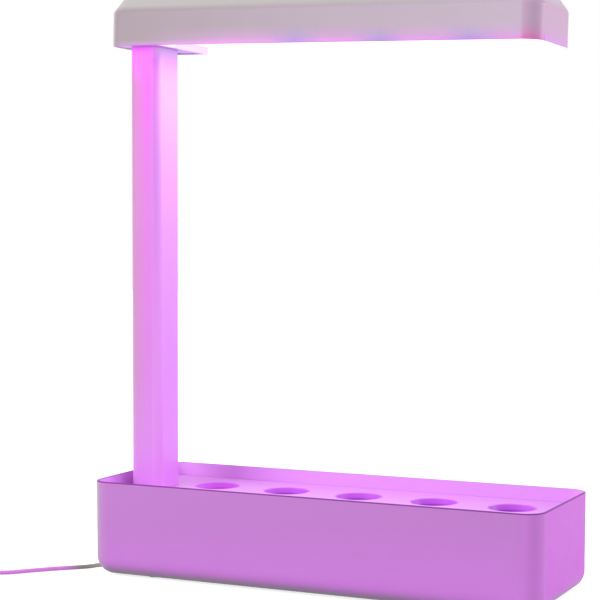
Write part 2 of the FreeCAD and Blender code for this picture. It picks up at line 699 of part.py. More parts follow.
def make_tray():
    """Moulded tray with a deck, a skirt, ribs, the mast's opening and a row of funnel seats."""
    body = new_body("planting_tray")
    sketch = new_sketch(body, "deck_outline", z=deck_underside)
    add_rounded_rectangle(sketch, tray_length, tray_width, tray_corner)
    pad(body, "deck", sketch, size["tray_deck"])

    sketch = new_sketch(body, "skirt_outline", z=deck_underside)
    inner_length = tray_length - 2 * size["skirt_wall"]
    inner_width = tray_width - 2 * size["skirt_wall"]
    add_rounded_rectangle(sketch, tray_length, tray_width, tray_corner)
    add_rounded_rectangle(sketch, inner_length, inner_width, tray_corner - size["skirt_wall"])
    pad(body, "skirt", sketch, size["tray_skirt"], down=True)

    collar = size["throat_diameter"] + 2 * size["collar_wall"]
    funnel = size["mouth_diameter"] + 2 * size["collar_wall"]
    sketch = new_sketch(body, "funnel_walls", z=deck_underside)
    for x in cup_places:
        add_circle(sketch, funnel, x, size["cup_row"])
    seat_lean = lean_of((size["mouth_diameter"] - size["throat_diameter"]) / 2, size["seat_depth"])
    pad(body, "funnels", sketch, size["seat_depth"] - size["tray_deck"], down=True)

    sketch = new_sketch(body, "collar_walls", z=deck_underside)
    for x in cup_places:
        add_circle(sketch, collar, x, size["cup_row"])
    pad(body, "collars", sketch, size["seat_depth"] + size["collar_drop"] - size["tray_deck"], down=True)

    sketch = new_sketch(body, "rib_outlines", z=deck_underside)
    rib_length = tray_width - size["skirt_wall"]
    for left, right in zip(cup_places, cup_places[1:]):
        add_rectangle(sketch, size["skirt_wall"], rib_length, (left + right) / 2, ZERO)
    pad(body, "ribs", sketch, size["tray_rib"], down=True)

    sketch = new_sketch(body, "seat_mouths", z=deck_top)
    for x in cup_places:
        add_circle(sketch, size["mouth_diameter"], x, size["cup_row"])
    pocket(body, "seats", sketch, size["seat_depth"], down=True, lean=seat_lean)

    sketch = new_sketch(body, "throats", z=deck_top)
    for x in cup_places:
        add_circle(sketch, size["throat_diameter"], x, size["cup_row"])
    pocket(body, "throat_holes", sketch, size["seat_depth"] + 2 * size["collar_drop"], down=True)

    sketch = new_sketch(body, "mast_opening", x=mast_x, z=deck_top)
    room = 2 * size["mast_gap"]
    corner = size["mast_corner"] + size["mast_gap"]
    add_rounded_rectangle(sketch, size["mast_width"] + room, size["mast_depth"] + room, corner)
    pocket(body, "mast_hole", sketch, 2 * size["tray_deck"], down=True)


def make_cup(number, x):
    """Slotted planting cup that hangs by its funnel lip in the tray's seat."""
    body = new_body(f"planting_cup_{number}")
    gap, wall = size["cup_gap"], size["cup_wall"]
    lip = size["mouth_diameter"] / 2 - gap
    throat = size["throat_diameter"] / 2 - gap
    below_seat = size["seat_depth"] + size["cup_step_drop"]
    shoulder = throat - size["cup_step_in"]
    bottom = size["cup_bottom"] / 2
    sketch = new_sketch(body, f"cup_{number}_section", role="XZ_Plane")
    add_outline(sketch, [
        (ZERO, -size["cup_depth"]),
        (bottom, -size["cup_depth"]),
        (shoulder, -below_seat),
        (throat, -size["seat_depth"]),
        (lip, ZERO),
        (lip - size["cup_lip_edge"], ZERO),
        (throat - wall, -size["seat_depth"]),
        (bottom - wall, wall - size["cup_depth"]),
        (ZERO, wall - size["cup_depth"]),
    ])
    wall_feature = revolve(body, f"cup_{number}_wall", sketch)
    foot_edges = flat_edges_at(-size["cup_depth"].value)
    dress(body, "Fillet", f"cup_{number}_round", wall_feature, foot_edges, size["cup_foot_round"])

    sketch = new_sketch(body, f"cup_{number}_slot", role="XZ_Plane")
    slot_height = size["slot_bottom"] - size["slot_top"]
    slot_middle = -(size["slot_top"] + size["slot_bottom"]) / 2
    add_rectangle(sketch, size["slot_width"], slot_height, ZERO, slot_middle)
    slot = pocket(body, f"cup_{number}_slot_cut", sketch, size["throat_diameter"] / 2)
    ring = body.newObject("PartDesign::PolarPattern", f"cup_{number}_slots")
    ring.Originals = [slot]
    ring.Axis = (origin_feature(body, "Z_Axis"), [""])
    ring.Angle = 360
    bind(ring, "Occurrences", size["slot_count"])
    body.Tip = ring

    sketch = new_sketch(body, f"cup_{number}_drains", z=-size["cup_depth"] - size["cup_wall"])
    drain_count = 6
    for step in range(drain_count):
        turn = 2 * math.pi * step / drain_count
        across, along = round(math.cos(turn), 9), round(math.sin(turn), 9)
        add_circle(sketch, size["drain_diameter"], size["drain_ring"] * across, size["drain_ring"] * along)
    pocket(body, f"cup_{number}_drain_cut", sketch, 3 * size["cup_wall"])
    place(body, x, size["cup_row"], deck_top)


# The mast


def make_mast():
    """Round-cornered tube that stands in the tub's socket."""
    body = new_body("mast_tube")
    sketch = new_sketch(body, "mast_section", z=shelf_top)
    add_rounded_rectangle(sketch, size["mast_width"], size["mast_depth"], size["mast_corner"])
    add_rounded_rectangle(sketch, mast_inner_width, mast_inner_depth, mast_inner_corner)
    pad(body, "mast_wall_pad", sketch, mast_top - shelf_top)
    place(body, mast_x)


def add_plug(body, name, z, length, down):
    """A plug that fits inside the mast, with a bevel at its leading end."""
    gap = size["fit_gap"]
    sketch = new_sketch(body, f"{name}_section", z=z)
    width, depth = mast_inner_width - 2 * gap, mast_inner_depth - 2 * gap
    add_rounded_rectangle(sketch, width, depth, mast_inner_corner - gap)
    block = pad(body, f"{name}_block", sketch, length, down=down)
    far_end = z.value - length.value if down else z.value + length.value
    return dress(body, "Chamfer", f"{name}_bevel", block, flat_edges_at(far_end), size["plug_edge"])


def make_foot_plug():
    """Plug in the mast's lower end that the foot screws pull onto the shelf."""
    body = new_body("mast_foot_plug")
    add_plug(body, "foot_plug", shelf_top, size["plug_height"], False)
    sketch = new_sketch(body, "foot_plug_holes", z=shelf_top - size["plug_edge"])
    add_circle(sketch, size["wire_hole"])
    for side in (-1, 1):
        add_circle(sketch, hole_for_screw, y=size["foot_screw_reach"] * side)
    pocket(body, "foot_plug_drilling", sketch, size["plug_height"] + 2 * size["plug_edge"])
    place(body, mast_x)


def make_foot_screws():
    """Two screws up through the shelf into the foot plug."""
    pieces = []
    for side in (-1, 1):
        name = f"foot_screw_{len(pieces) + 1}"
        y = size["foot_screw_reach"] * side
        pieces.append(screw(name, size["foot_screw_length"], mast_x, y, shelf_underside, True))
    group("foot_screws", pieces)


def make_bracket():
    """Bracket with a plug in the mast's top and a flange whose upper face has the light's droop."""
    body = new_body("mast_bracket")
    half, thick = size["flange_length"] / 2, size["flange_thickness"]
    drop = half * tangent_of(size["head_droop"])
    sketch = new_sketch(body, "flange_profile", role="XZ_Plane")
    add_outline(sketch, [
        (-half, mast_top),
        (half, mast_top),
        (half, mast_top + thick - drop),
        (-half, mast_top + thick + drop),
    ])
    flange = pad(body, "flange", sketch, size["flange_depth"], both=True)
    low, high = mast_top.value, (mast_top + thick).value
    half_x, half_y = half.value, size["flange_depth"].value / 2

    def upright_corner(edge):
        box = edge.BoundBox
        thin = box.XLength < 0.01 and box.YLength < 0.01
        at_corner = abs(abs(box.XMin) - half_x) < 0.01 and abs(abs(box.YMin) - half_y) < 0.01
        return thin and at_corner and low - 1 < box.ZMin < high

    dress(body, "Fillet", "flange_corners", flange, upright_corner, size["mast_corner"])
    sketch = new_sketch(body, "bracket_plug_section", z=mast_top)
    gap = size["fit_gap"]
    width, depth = mast_inner_width - 2 * gap, mast_inner_depth - 2 * gap
    add_rounded_rectangle(sketch, width, depth, mast_inner_corner - gap)
    plug = pad(body, "bracket_plug_block", sketch, size["bracket_plug"], down=True)
    lower_end = (mast_top - size["bracket_plug"]).value
    dress(body, "Chamfer", "bracket_plug_bevel", plug, flat_edges_at(lower_end), size["plug_edge"])

    sketch = new_sketch(body, "bracket_holes", z=mast_top - size["bracket_plug"] - size["plug_edge"])
    add_circle(sketch, size["wire_hole"])
    # The light leans, so its screws meet the upright holes a little to the right
    shift = (size["mast_reach"] + thick / 2) * tangent_of(size["head_droop"])
    for side_x in (-1, 1):
        for side_y in (-1, 1):
            x = size["bracket_screw_x"] * side_x + shift
            add_circle(sketch, hole_for_screw + 2 * size["screw_gap"], x, size["bracket_screw_y"] * side_y)
    pocket(body, "bracket_drilling", sketch, size["bracket_plug"] + 3 * thick)
    place(body, mast_x)


# The light, in a frame whose origin is on the mast's axis at the housing's lower edge


def make_head_shell():
    """Moulded cover with an upright face, a slanted band and a soft crown, open below."""
    body = new_body("head_shell")
    length, depth, wall = size["head_length"], size["head_depth"], size["head_wall"]
    lean = lean_of(size["band_inset"], size["band_height"])
    sketch = new_sketch(body, "face_outline", x=head_middle)
    add_rounded_rectangle(sketch, length, depth, size["head_corner"])
    pad(body, "face_block", sketch, size["head_face"])
    sketch = new_sketch(body, "band_outline", x=head_middle, z=size["head_face"])
    add_rounded_rectangle(sketch, length, depth, size["head_corner"])
    band = pad(body, "band_block", sketch, size["band_height"], lean=lean)
    top = (size["head_face"] + size["band_height"]).value
    feature = dress(body, "Fillet", "crown", band, flat_edges_at(top), size["crown_round"])
    face_top = flat_edges_at(size["head_face"].value)
    feature = dress(body, "Fillet", "band_start", feature, face_top, size["band_break"])

    inner_corner = size["head_corner"] - wall
    sketch = new_sketch(body, "face_inside", x=head_middle)
    add_rounded_rectangle(sketch, length - 2 * wall, depth - 2 * wall, inner_corner)
    pocket(body, "face_hollow", sketch, size["head_face"])
    sketch = new_sketch(body, "band_inside", x=head_middle, z=size["head_face"])
    add_rounded_rectangle(sketch, length - 2 * wall, depth - 2 * wall, inner_corner)
    hollow = pocket(body, "band_hollow", sketch, size["band_height"] - wall, lean=lean)
    dress(body, "Fillet", "lower_edge", hollow, flat_edges_at(0.0), size["skirt_round"])

    sketch = new_sketch(body, "carrier_bosses", z=ceiling + wall / 2)
    for x, y in boss_places:
        add_circle(sketch, size["boss_diameter"], x, y)
    pad(body, "carrier_boss_pads", sketch, ceiling + wall / 2 - carrier_top, down=True)
    sketch = new_sketch(body, "bezel_bosses", z=ceiling - wall)
    for side in (-1, 1):
        add_circle(sketch, size["boss_diameter"], size["bezel_screw_x"], size["bezel_screw_y"] * side)
    pad(body, "bezel_boss_pads", sketch, ceiling - wall - bezel_top, down=True)
    sketch = new_sketch(body, "bezel_boss_tops", z=ceiling - 2 * wall)
    for side in (-1, 1):
        add_circle(sketch, size["boss_diameter"], size["bezel_screw_x"], size["bezel_screw_y"] * side)
    pad(body, "bezel_boss_roots", sketch, 2.5 * wall)

    sketch = new_sketch(body, "carrier_pilots", z=carrier_top)
    for x, y in boss_places:
        add_circle(sketch, hole_for_screw, x, y)
    pocket(body, "carrier_pilot_cut", sketch, size["boss_screw_length"])
    sketch = new_sketch(body, "bezel_pilots", z=bezel_top)
    for side in (-1, 1):
        add_circle(sketch, hole_for_screw, size["bezel_screw_x"], size["bezel_screw_y"] * side)
    pocket(body, "bezel_pilot_cut", sketch, size["bezel_screw_length"])
    place_in_head(body)


bezel_length = size["head_length"] - 2 * (size["head_wall"] + size["bezel_gap"])
bezel_depth = size["head_depth"] - 2 * (size["head_wall"] + size["bezel_gap"])
bezel_corner = size["head_corner"] - size["head_wall"] - size["bezel_gap"]
bezel_right = head_middle + bezel_length / 2
bezel_left = head_middle - bezel_length / 2
window_end = bezel_right - size["window_margin"]
window_length = window_end - size["window_start"]
window_width = bezel_depth - 2 * size["window_margin"]
window_x = (window_end + size["window_start"]) / 2
diffuser_length = window_length + 2 * size["window_lap"]
diffuser_width = window_width + 2 * size["window_lap"]
diffuser_corner = size["window_corner"] + size["window_lap"]


def make_bezel():
    """Lower closure of the light, with a deep pad round the mast and a raised window frame."""
    body = new_body("lamp_bezel")
    pad_depth = bezel_top - size["pad_lift"]
    sketch = new_sketch(body, "bezel_outline", x=head_middle, z=size["pad_lift"])
    add_rounded_rectangle(sketch, bezel_length, bezel_depth, bezel_corner)
    pad(body, "bezel_block", sketch, pad_depth)

    sketch = new_sketch(body, "recess_outline")
    add_rectangle(sketch, size["head_length"], size["head_depth"], size["pad_end"] + size["head_length"] / 2)
    recess = pocket(body, "recess", sketch, size["bezel_lift"])
    pad_end, pad_low = size["pad_end"].value, size["pad_lift"].value

    def free_end_edge(edge):
        box = edge.BoundBox
        return box.XLength < 0.01 and abs(box.XMin - pad_end) < 0.01 and abs(box.ZMax - pad_low) < 0.01

    dress(body, "Fillet", "pad_free_end", recess, free_end_edge, size["pad_round"])

    wall = size["pad_wall"]
    hollow_length = size["pad_end"] - bezel_left - 2 * wall
    hollow_x = (size["pad_end"] + bezel_left) / 2
    sketch = new_sketch(body, "pad_inside", x=hollow_x, z=size["pad_lift"] + wall)
    add_rounded_rectangle(sketch, hollow_length, bezel_depth - 2 * wall, bezel_corner - wall)
    pocket(body, "pad_hollow", sketch, pad_depth)

    sketch = new_sketch(body, "pad_bosses", z=size["pad_lift"] + wall / 2)
    for side in (-1, 1):
        add_circle(sketch, size["bezel_boss"], size["bezel_screw_x"], size["bezel_screw_y"] * side)
    pad(body, "pad_boss_pads", sketch, pad_depth - wall / 2)

    sketch = new_sketch(body, "mast_sleeve", z=size["pad_lift"] + wall / 2)
    room = 2 * size["mast_gap"]
    sleeve = room + 2 * wall
    inner = (size["mast_width"] + room, size["mast_depth"] + room, size["mast_corner"] + size["mast_gap"])
    add_rounded_rectangle(sketch, size["mast_width"] + sleeve, size["mast_depth"] + sleeve, inner[2] + wall)
    pad(body, "mast_sleeve_pad", sketch, size["bezel_lift"] - wall)

    sketch = new_sketch(body, "mast_passage")
    add_rounded_rectangle(sketch, *inner)
    pocket(body, "mast_passage_cut", sketch, bezel_top)

    sketch = new_sketch(body, "window_outline", x=window_x)
    add_rounded_rectangle(sketch, window_length, window_width, size["window_corner"])
    pocket(body, "window", sketch, bezel_top + wall)

    sketch = new_sketch(body, "fence_outline", x=window_x, z=bezel_top)
    room = 2 * size["diffuser_gap"]
    rail = room + 2 * size["fence_wall"]
    corner = diffuser_corner + size["diffuser_gap"]
    add_rounded_rectangle(sketch, diffuser_length + rail, diffuser_width + rail, corner + size["fence_wall"])
    add_rounded_rectangle(sketch, diffuser_length + room, diffuser_width + room, corner)
    pad(body, "fence", sketch, size["diffuser_thickness"])

    sketch = new_sketch(body, "bezel_screw_holes")
    for side in (-1, 1):
        add_circle(sketch, hole_for_screw, size["bezel_screw_x"], size["bezel_screw_y"] * side)
    pocket(body, "bezel_screw_cut", sketch, bezel_top + wall)
    sketch = new_sketch(body, "bezel_screw_sinks")
    for side in (-1, 1):
        head = size["screw_head"] + 4 * size["screw_gap"]
        add_circle(sketch, head, size["bezel_screw_x"], size["bezel_screw_y"] * side)
    pocket(body, "bezel_sink_cut", sketch, size["pad_lift"] + size["bezel_screw_sink"])
    place_in_head(body)


def make_diffuser():
    """Frosted window plate that lies on the bezel, inside its fence."""
    body = new_body("diffuser")
    sketch = new_sketch(body, "diffuser_outline", x=window_x, z=bezel_top)
    add_rounded_rectangle(sketch, diffuser_length, diffuser_width, diffuser_corner)
    pad(body, "diffuser_plate", sketch, size["diffuser_thickness"])
    place_in_head(body)


def make_carrier():
    """Folded aluminium channel from the bracket to the free end that carries board and cover."""
    body = new_body("light_carrier")
    start = bezel_left + size["carrier_gap"]
    half, sheet_metal = size["carrier_width"] / 2, size["carrier_sheet"]
    low = carrier_underside - size["carrier_drop"]
    sketch = new_sketch(body, "channel_profile", role="YZ_Plane", z=start)
    add_outline(sketch, [
        (-half, low),
        (sheet_metal - half, low),
        (sheet_metal - half, carrier_underside),
        (half - sheet_metal, carrier_underside),
        (half - sheet_metal, low),
        (half, low),
        (half, carrier_top),
        (-half, carrier_top),
    ])
    channel = pad(body, "channel", sketch, carrier_end - start)
    top, half_width = carrier_top.value, half.value

    def outer_fold(edge):
        box = edge.BoundBox
        level = abs(box.ZMin - top) < 0.01 and abs(box.ZMax - top) < 0.01
        return level and box.YLength < 0.01 and abs(abs(box.YMin) - half_width) < 0.01

    dress(body, "Fillet", "folds", channel, outer_fold, sheet_metal)
    sketch = new_sketch(body, "carrier_holes", z=low)
    add_circle(sketch, size["wire_hole"])
    for x, y in boss_places:
        add_circle(sketch, hole_for_screw, x, y)
    for side_x in (-1, 1):
        for side_y in (-1, 1):
            x, y = size["bracket_screw_x"] * side_x, size["bracket_screw_y"] * side_y
            add_circle(sketch, hole_for_screw, x, y)
    for side in (-1, 1):
        add_circle(sketch, size["link_diameter"] * 2, link_x, size["link_spread"] / 2 * side)
    pocket(body, "carrier_drilling", sketch, size["carrier_drop"] + 2 * sheet_metal)
    place_in_head(body)


def make_board():
    """Aluminium-core board below the carrier's web."""
    body = new_body("led_board")
    length = board_end - size["board_start"]
    middle = (board_end + size["board_start"]) / 2
    sketch = new_sketch(body, "board_outline", x=middle, z=board_underside)
    add_rounded_rectangle(sketch, length, size["board_width"], size["carrier_sheet"] * 2)
    pad(body, "board_plate", sketch, size["board_thickness"])
    sketch = new_sketch(body, "board_holes", z=board_underside - size["board_thickness"])
    for x, y in boss_places:
        add_circle(sketch, hole_for_screw, x, y)
    for side in (-1, 1):
        add_circle(sketch, size["link_diameter"] * 1.5, link_x, size["link_spread"] / 2 * side)
    pocket(body, "board_drilling", sketch, 3 * size["board_thickness"])
    place_in_head(body)


def make_chips():
    """Rows of light chips below the board: every fifth is blue, and the others are red."""
    red, blue = [], []
    for column, place_x in enumerate(chip_places):
        is_blue = column % 5 == 2
        for side in (-1, 1):
            chip = doc.addObject("Part::Box", f"chip_{column + 1}_{'back' if side > 0 else 'front'}")
            bind(chip, "Length", size["led_size"])
            bind(chip, "Width", size["led_size"])
            bind(chip, "Height", size["led_height"])
            x = place_x - size["led_size"] / 2
            y = size["led_row"] * side - size["led_size"] / 2
            place(chip, x, y, board_underside - size["led_height"])
            (blue if is_blue else red).append(chip)
    for label, chips in (("red_leds", red), ("blue_leds", blue)):
        place_in_head(group(label, chips))


def make_head_screws():
    """Screws that join bracket, carrier, board, cover and bezel."""
    pieces = []
    for side_x in (-1, 1):
        for side_y in (-1, 1):
            x, y = size["bracket_screw_x"] * side_x, size["bracket_screw_y"] * side_y
            length = size["carrier_sheet"] + size["flange_thickness"]
            pieces.append(screw(f"bracket_screw_{len(pieces) + 1}", length, x, y, carrier_top, False))
    place_in_head(group("bracket_screws", pieces))
    pieces = []
    for x, y in boss_places:
        name = f"board_screw_{len(pieces) + 1}"
        pieces.append(screw(name, size["boss_screw_length"], x, y, board_underside, True))
    place_in_head(group("board_screws", pieces))
    pieces = []
    for side in (-1, 1):
        name = f"bezel_screw_{len(pieces) + 1}"
        y = size["bezel_screw_y"] * side
        face = size["pad_lift"] + size["bezel_screw_sink"]
        pieces.append(screw(name, size["bezel_screw_length"], size["bezel_screw_x"], y, face, True))
    place_in_head(group("bezel_screws", pieces))


link_x = size["driver_start"] + size["driver_length"] + size["link_reach"]


def make_driver():
    """Closed driver and timer case on the carrier."""
    body = new_body("light_driver")
    middle = size["driver_start"] + size["driver_length"] / 2
    sketch = new_sketch(body, "driver_outline", x=middle, z=carrier_top)
    add_rounded_rectangle(sketch, size["driver_length"], size["driver_width"], size["driver_round"])
    case = pad(body, "driver_case", sketch, size["driver_height"])
    top = (carrier_top + size["driver_height"]).value
    dress(body, "Fillet", "driver_top", case, flat_edges_at(top), size["driver_round"])
    place_in_head(body)


def head_point(x, y, z):
    """A point of the light's own frame, in the part's frame."""
    base = Vector(mast_x.value, 0, size["head_edge_height"].value)
    return Placement(base, Rotation(Y_AXIS, size["head_droop"].value)).multVec(Vector(x, y, z))


def make_mast_lead():
    """Lead from the strain relief through bay, mast and bracket to the driver."""
    diameter, bend = size["lead_diameter"].value, size["lead_bend"].value
    start_x = (bay_left + size["gland_flange_length"]).value
    axis, row, height = mast_x.value, size["groove_row"].value, size["cord_height"].value
    entry = (carrier_top + size["lead_rise"]).value
    end = head_point(size["driver_start"].value, 0, entry)
    turn = head_point(0, 0, entry)
    points = [
        Vector(start_x, row, height),
        Vector(axis, row, height),
        Vector(axis, row + 2.4 * bend, height),
        Vector(axis, 0, height + 1.4 * bend),
        Vector(axis, 0, turn.z),
        end,
    ]
    bends = [0.45 * bend, bend, 0.8 * bend, bend]
    wire = path_wire(points, bends)
    shape = tube_along(wire, diameter, points[0], Vector(1, 0, 0))
    solid_feature("mast_lead", shape)


def make_link_wires():
    """Two thin wires from the driver down through carrier and board."""
    diameter, bend = size["link_diameter"].value, size["link_bend"].value
    start, across = (size["driver_start"] + size["driver_length"]).value, size["link_spread"].value / 2
    high, low = (carrier_top + size["driver_height"] / 2).value, board_underside.value
    wires = []
    for side in (-1, 1):
        y = across * side
        points = [Vector(start, y, high), Vector(link_x.value, y, high), Vector(link_x.value, y, low)]
        wires.append(tube_along(path_wire(points, [bend]), diameter, points[0], Vector(1, 0, 0)))
    base = Placement(head_point(0, 0, 0), Rotation(Y_AXIS, size["head_droop"].value))
    solid_feature("board_wires", Part.makeCompound(wires), base)


# The supply cord


def make_gland():
    """Strain relief in the groove: flange in the bay, neck in the groove and a tapered tail."""
    body = new_body("cord_strain_relief")
    sketch = new_sketch(body, "gland_profile", role="XY_Plane")
    flange, neck = size["gland_flange"] / 2, size["gland_neck"] / 2
    first = size["gland_flange_length"]
    second = first + size["gland_neck_length"]
    third = second + size["gland_tail_length"]
    add_outline(sketch, [
        (ZERO, ZERO),
        (flange, ZERO),
        (flange, first),
        (neck, first),
        (neck, second),
        (size["gland_tail_end"] / 2, third),
        (ZERO, third),
    ])
    revolve(body, "gland_turn", sketch)
    start = bay_left + size["gland_flange_length"]
    place(body, start, size["groove_row"], size["cord_height"], turn=90)


gland_end = bay_left - size["gland_neck_length"] - size["gland_tail_length"]
coil_centre = Vector(size["coil_x"].value, size["coil_y"].value, 0)
coil_outer = (size["coil_radius"] + size["coil_bundle"] / 2).value
floor_axis = size["cord_diameter"].value / 2
end_depth = (size["cord_diameter"] / 2 + size["coil_end_inset"]).value
lead_in_height = size["tie_thickness"].value + end_depth
lead_out_height = (size["tie_thickness"] + size["coil_height"]).value - end_depth


def cord_bends(label, points):
    """Arc radii that the runs allow, printed so that tight ones show."""
    bends = []
    for before, corner, after in zip(points, points[1:], points[2:]):
        arrive, leave = corner - before, after - corner
        half = arrive.getAngle(leave) / 2
        bends.append(0.45 * min(arrive.Length, leave.Length) / math.tan(half))
    print(label, "arc radii", [round(radius, 1) for radius in bends])
    return bends


def make_cord_piece(label, points):
    """A free stretch of cord along its route."""
    diameter = size["cord_diameter"].value
    wire = path_wire(points, cord_bends(label, points))
    shape = tube_along(wire, diameter, points[0], points[1] - points[0])
    wanted = math.pi * diameter ** 2 / 4 * wire.Length
    share = round(shape.Volume / wanted, 4)
    print(label, "length", round(wire.Length, 1), "volume over section times length", share)
    solid_feature(label, shape)


def stub_end(angle, sense, height):
    """Where the cord leaves the coil on a tangent, and the way it then goes."""
    turn = math.radians(angle)
    radius = size["coil_radius"].value + size["coil_bundle"].value / 2 - end_depth
    foot = coil_centre + Vector(radius * math.cos(turn), radius * math.sin(turn), height)
    along = Vector(-math.sin(turn), math.cos(turn), 0) * sense
    reach = math.sqrt(coil_outer ** 2 - radius ** 2) + size["coil_end_reach"].value
    return foot, along, foot + along * reach


COIL_IN = (-36.87, 1, lead_in_height)
COIL_OUT = (-90.0, -1, lead_out_height)
# Bends of the cord on the table between the tub and the coil
CORD_BENDS = [(-243.5, -47.0), (-258.5, -60.5), (-273.0, -74.5), (-288.0, -91.5), (-297.0, -103.5)]


def make_cord():
    """Cord from the strain relief over the table to the coil, and from the coil to the adapter."""
    start = Vector(gland_end.value, size["groove_row"].value, size["cord_height"].value)
    points = [start, start - Vector(8, 0, 0)]
    points += [Vector(x, y, floor_axis) for x, y in CORD_BENDS]
    foot, along, end = stub_end(*COIL_IN)
    points += [end + along * 14, end]
    make_cord_piece("cord_tube", points)
    foot, along, end = stub_end(*COIL_OUT)
    face_x = (size["adapter_x"] + size["adapter_length"] / 2).value
    entry = Vector(face_x, size["adapter_y"].value, size["adapter_entry"].value)
    make_cord_piece("cord_tail", [end, end + along * 11, entry + Vector(11, 0, 0), entry])


def rounded_section(left, right, low, high, radius):
    """Upright face in the XZ plane with round corners."""
    corners = [
        (left + radius, low + radius, 180),
        (right - radius, low + radius, 270),
        (right - radius, high - radius, 0),
        (left + radius, high - radius, 90),
    ]

    def on_arc(corner, turn):
        x, z, start = corner
        angle = math.radians(start + turn)
        return Vector(x + radius * math.cos(angle), 0, z + radius * math.sin(angle))

    edges = []
    for corner, following in zip(corners, corners[1:] + corners[:1]):
        edges.append(Part.Arc(on_arc(corner, 0), on_arc(corner, 45), on_arc(corner, 90)).toShape())
        edges.append(Part.makeLine(on_arc(corner, 90), on_arc(following, 0)))
    return Part.Face(Part.Wire(edges))


def make_coil():
    """Outer shape of the coiled cord, with the two ends leaving it on tangents."""
    middle, half = size["coil_radius"].value, size["coil_bundle"].value / 2
    low = size["tie_thickness"].value
    high = low + size["coil_height"].value
    section = rounded_section(middle - half, middle + half, low, high, size["coil_round"].value)
    section.translate(coil_centre)
    solid = section.revolve(coil_centre, Vector(0, 0, 1), 360)
    for leaving in (COIL_IN, COIL_OUT):
        foot, along, end = stub_end(*leaving)
        rod = Part.makeCylinder(size["cord_diameter"].value / 2, (end - foot).Length, foot, along)
        solid = solid.fuse(rod)
    solid_feature("cord_coil", solid)


def make_tie():
    """Band round the coil's turns."""
    thick, wide = size["tie_thickness"].value, size["tie_width"].value
    half, r = size["coil_bundle"].value / 2, size["coil_round"].value
    x = size["coil_x"].value - size["coil_radius"].value
    y = size["coil_y"].value - wide / 2
    hole_radius = size["coil_radius"].value - half
    bow = hole_radius - math.sqrt(hole_radius ** 2 - wide ** 2 / 4)
    tall = size["coil_height"].value
    outer = Part.makeBox(2 * (half + thick) + bow, wide, tall + 2 * thick, Vector(x - half - thick, y, 0))
    inner = Part.makeBox(2 * half + bow, wide, tall, Vector(x - half, y, thick))
    outer = outer.makeFillet(r + thick, [edge for edge in outer.Edges if edge.BoundBox.YLength > wide - 0.01])
    inner = inner.makeFillet(r, [edge for edge in inner.Edges if edge.BoundBox.YLength > wide - 0.01])
    solid_feature("cord_tie", outer.cut(inner))


def make_adapter():
    """Wall plug adapter, lying on its flat side."""
    body = new_body("plug_adapter")
    sketch = new_sketch(body, "adapter_outline")
    add_rounded_rectangle(sketch, size["adapter_length"], size["adapter_width"], size["adapter_round"])
    block = pad(body, "adapter_block", sketch, size["adapter_height"])
    top = size["adapter_height"].value
    dress(body, "Fillet", "adapter_top", block, flat_edges_at(top), size["adapter_round"])
    place(body, size["adapter_x"], size["adapter_y"])


def make_pins():
    """Two round plug pins on the adapter's far face."""
    pins = []
    for side in (-1, 1):
        name = f"pin_{len(pins) + 1}"
        y = size["pin_spacing"] / 2 * side
        shank_length = size["pin_length"] - size["pin_tip"]
        shank = cylinder(f"{name}_shank", size["pin_diameter"], shank_length, ZERO, y)
        tip_end = size["pin_diameter"] - 2 * size["pin_tip"]
        tip = cone(f"{name}_tip", size["pin_diameter"], tip_end, size["pin_tip"], ZERO, y, shank_length)
        pins.append(fuse(name, shank, tip))
    compound = group("plug_pins", pins)
    left_face = size["adapter_x"] - size["adapter_length"] / 2
    place(compound, left_face, size["adapter_y"], size["adapter_height"] / 2, turn=-90, axis=Y_AXIS)


make_tub()
make_feet()
make_tray()
for count, column_x in enumerate(cup_places, start=1):
    make_cup(count, column_x)
make_mast()
make_foot_plug()
make_foot_screws()
make_bracket()
make_head_shell()
make_bezel()
make_diffuser()
make_carrier()
make_board()
make_chips()
make_head_screws()
make_driver()
make_mast_lead()
make_link_wires()
make_gland()
make_cord()
make_coil()
make_tie()
make_adapter()
make_pins()

doc.recompute()

for item in doc.Objects:
    if "Invalid" in item.State or "Error" in item.State:
        raise RuntimeError(f"{item.Label} failed: {item.State}")
for node in nodes:
    if node.Shape.isNull() or not node.Shape.isValid():
        raise RuntimeError(f"{node.Label} has no valid shape")
for node in nodes:
    node.Shape.exportStep(f"parts/{node.Label}.step")
    box = node.Shape.BoundBox
    print(f"{node.Label:22s} solids {len(node.Shape.Solids):3d} volume {node.Shape.Volume:12.1f}",
          f"x {box.XMin:8.2f} {box.XMax:8.2f} y {box.YMin:8.2f} {box.YMax:8.2f}",
          f"z {box.ZMin:8.2f} {box.ZMax:8.2f}")
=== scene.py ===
"""Indoor garden planter with a grow light: pieces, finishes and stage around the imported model."""

import math

import bmesh
import bpy
from bpy.props import FloatProperty, FloatVectorProperty, IntProperty, PointerProperty
from mathutils import Matrix, Vector


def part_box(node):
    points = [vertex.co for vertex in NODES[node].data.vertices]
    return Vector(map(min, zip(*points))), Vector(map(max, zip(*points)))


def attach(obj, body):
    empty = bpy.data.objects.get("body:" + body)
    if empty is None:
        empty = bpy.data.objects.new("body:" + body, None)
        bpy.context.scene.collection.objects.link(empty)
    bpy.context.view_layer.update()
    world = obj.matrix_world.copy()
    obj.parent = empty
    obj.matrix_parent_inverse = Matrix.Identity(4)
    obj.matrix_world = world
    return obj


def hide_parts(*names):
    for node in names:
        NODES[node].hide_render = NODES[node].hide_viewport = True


bl_info = {
    "name": "Garden planter with grow light",
    "version": (1, 0, 0),
    "blender": (4, 5, 0),
    "location": "View3D > Sidebar > Planter",
    "description": "Dresses the packed planter with its cord, adapter, finishes and stage",
    "category": "Object",
}

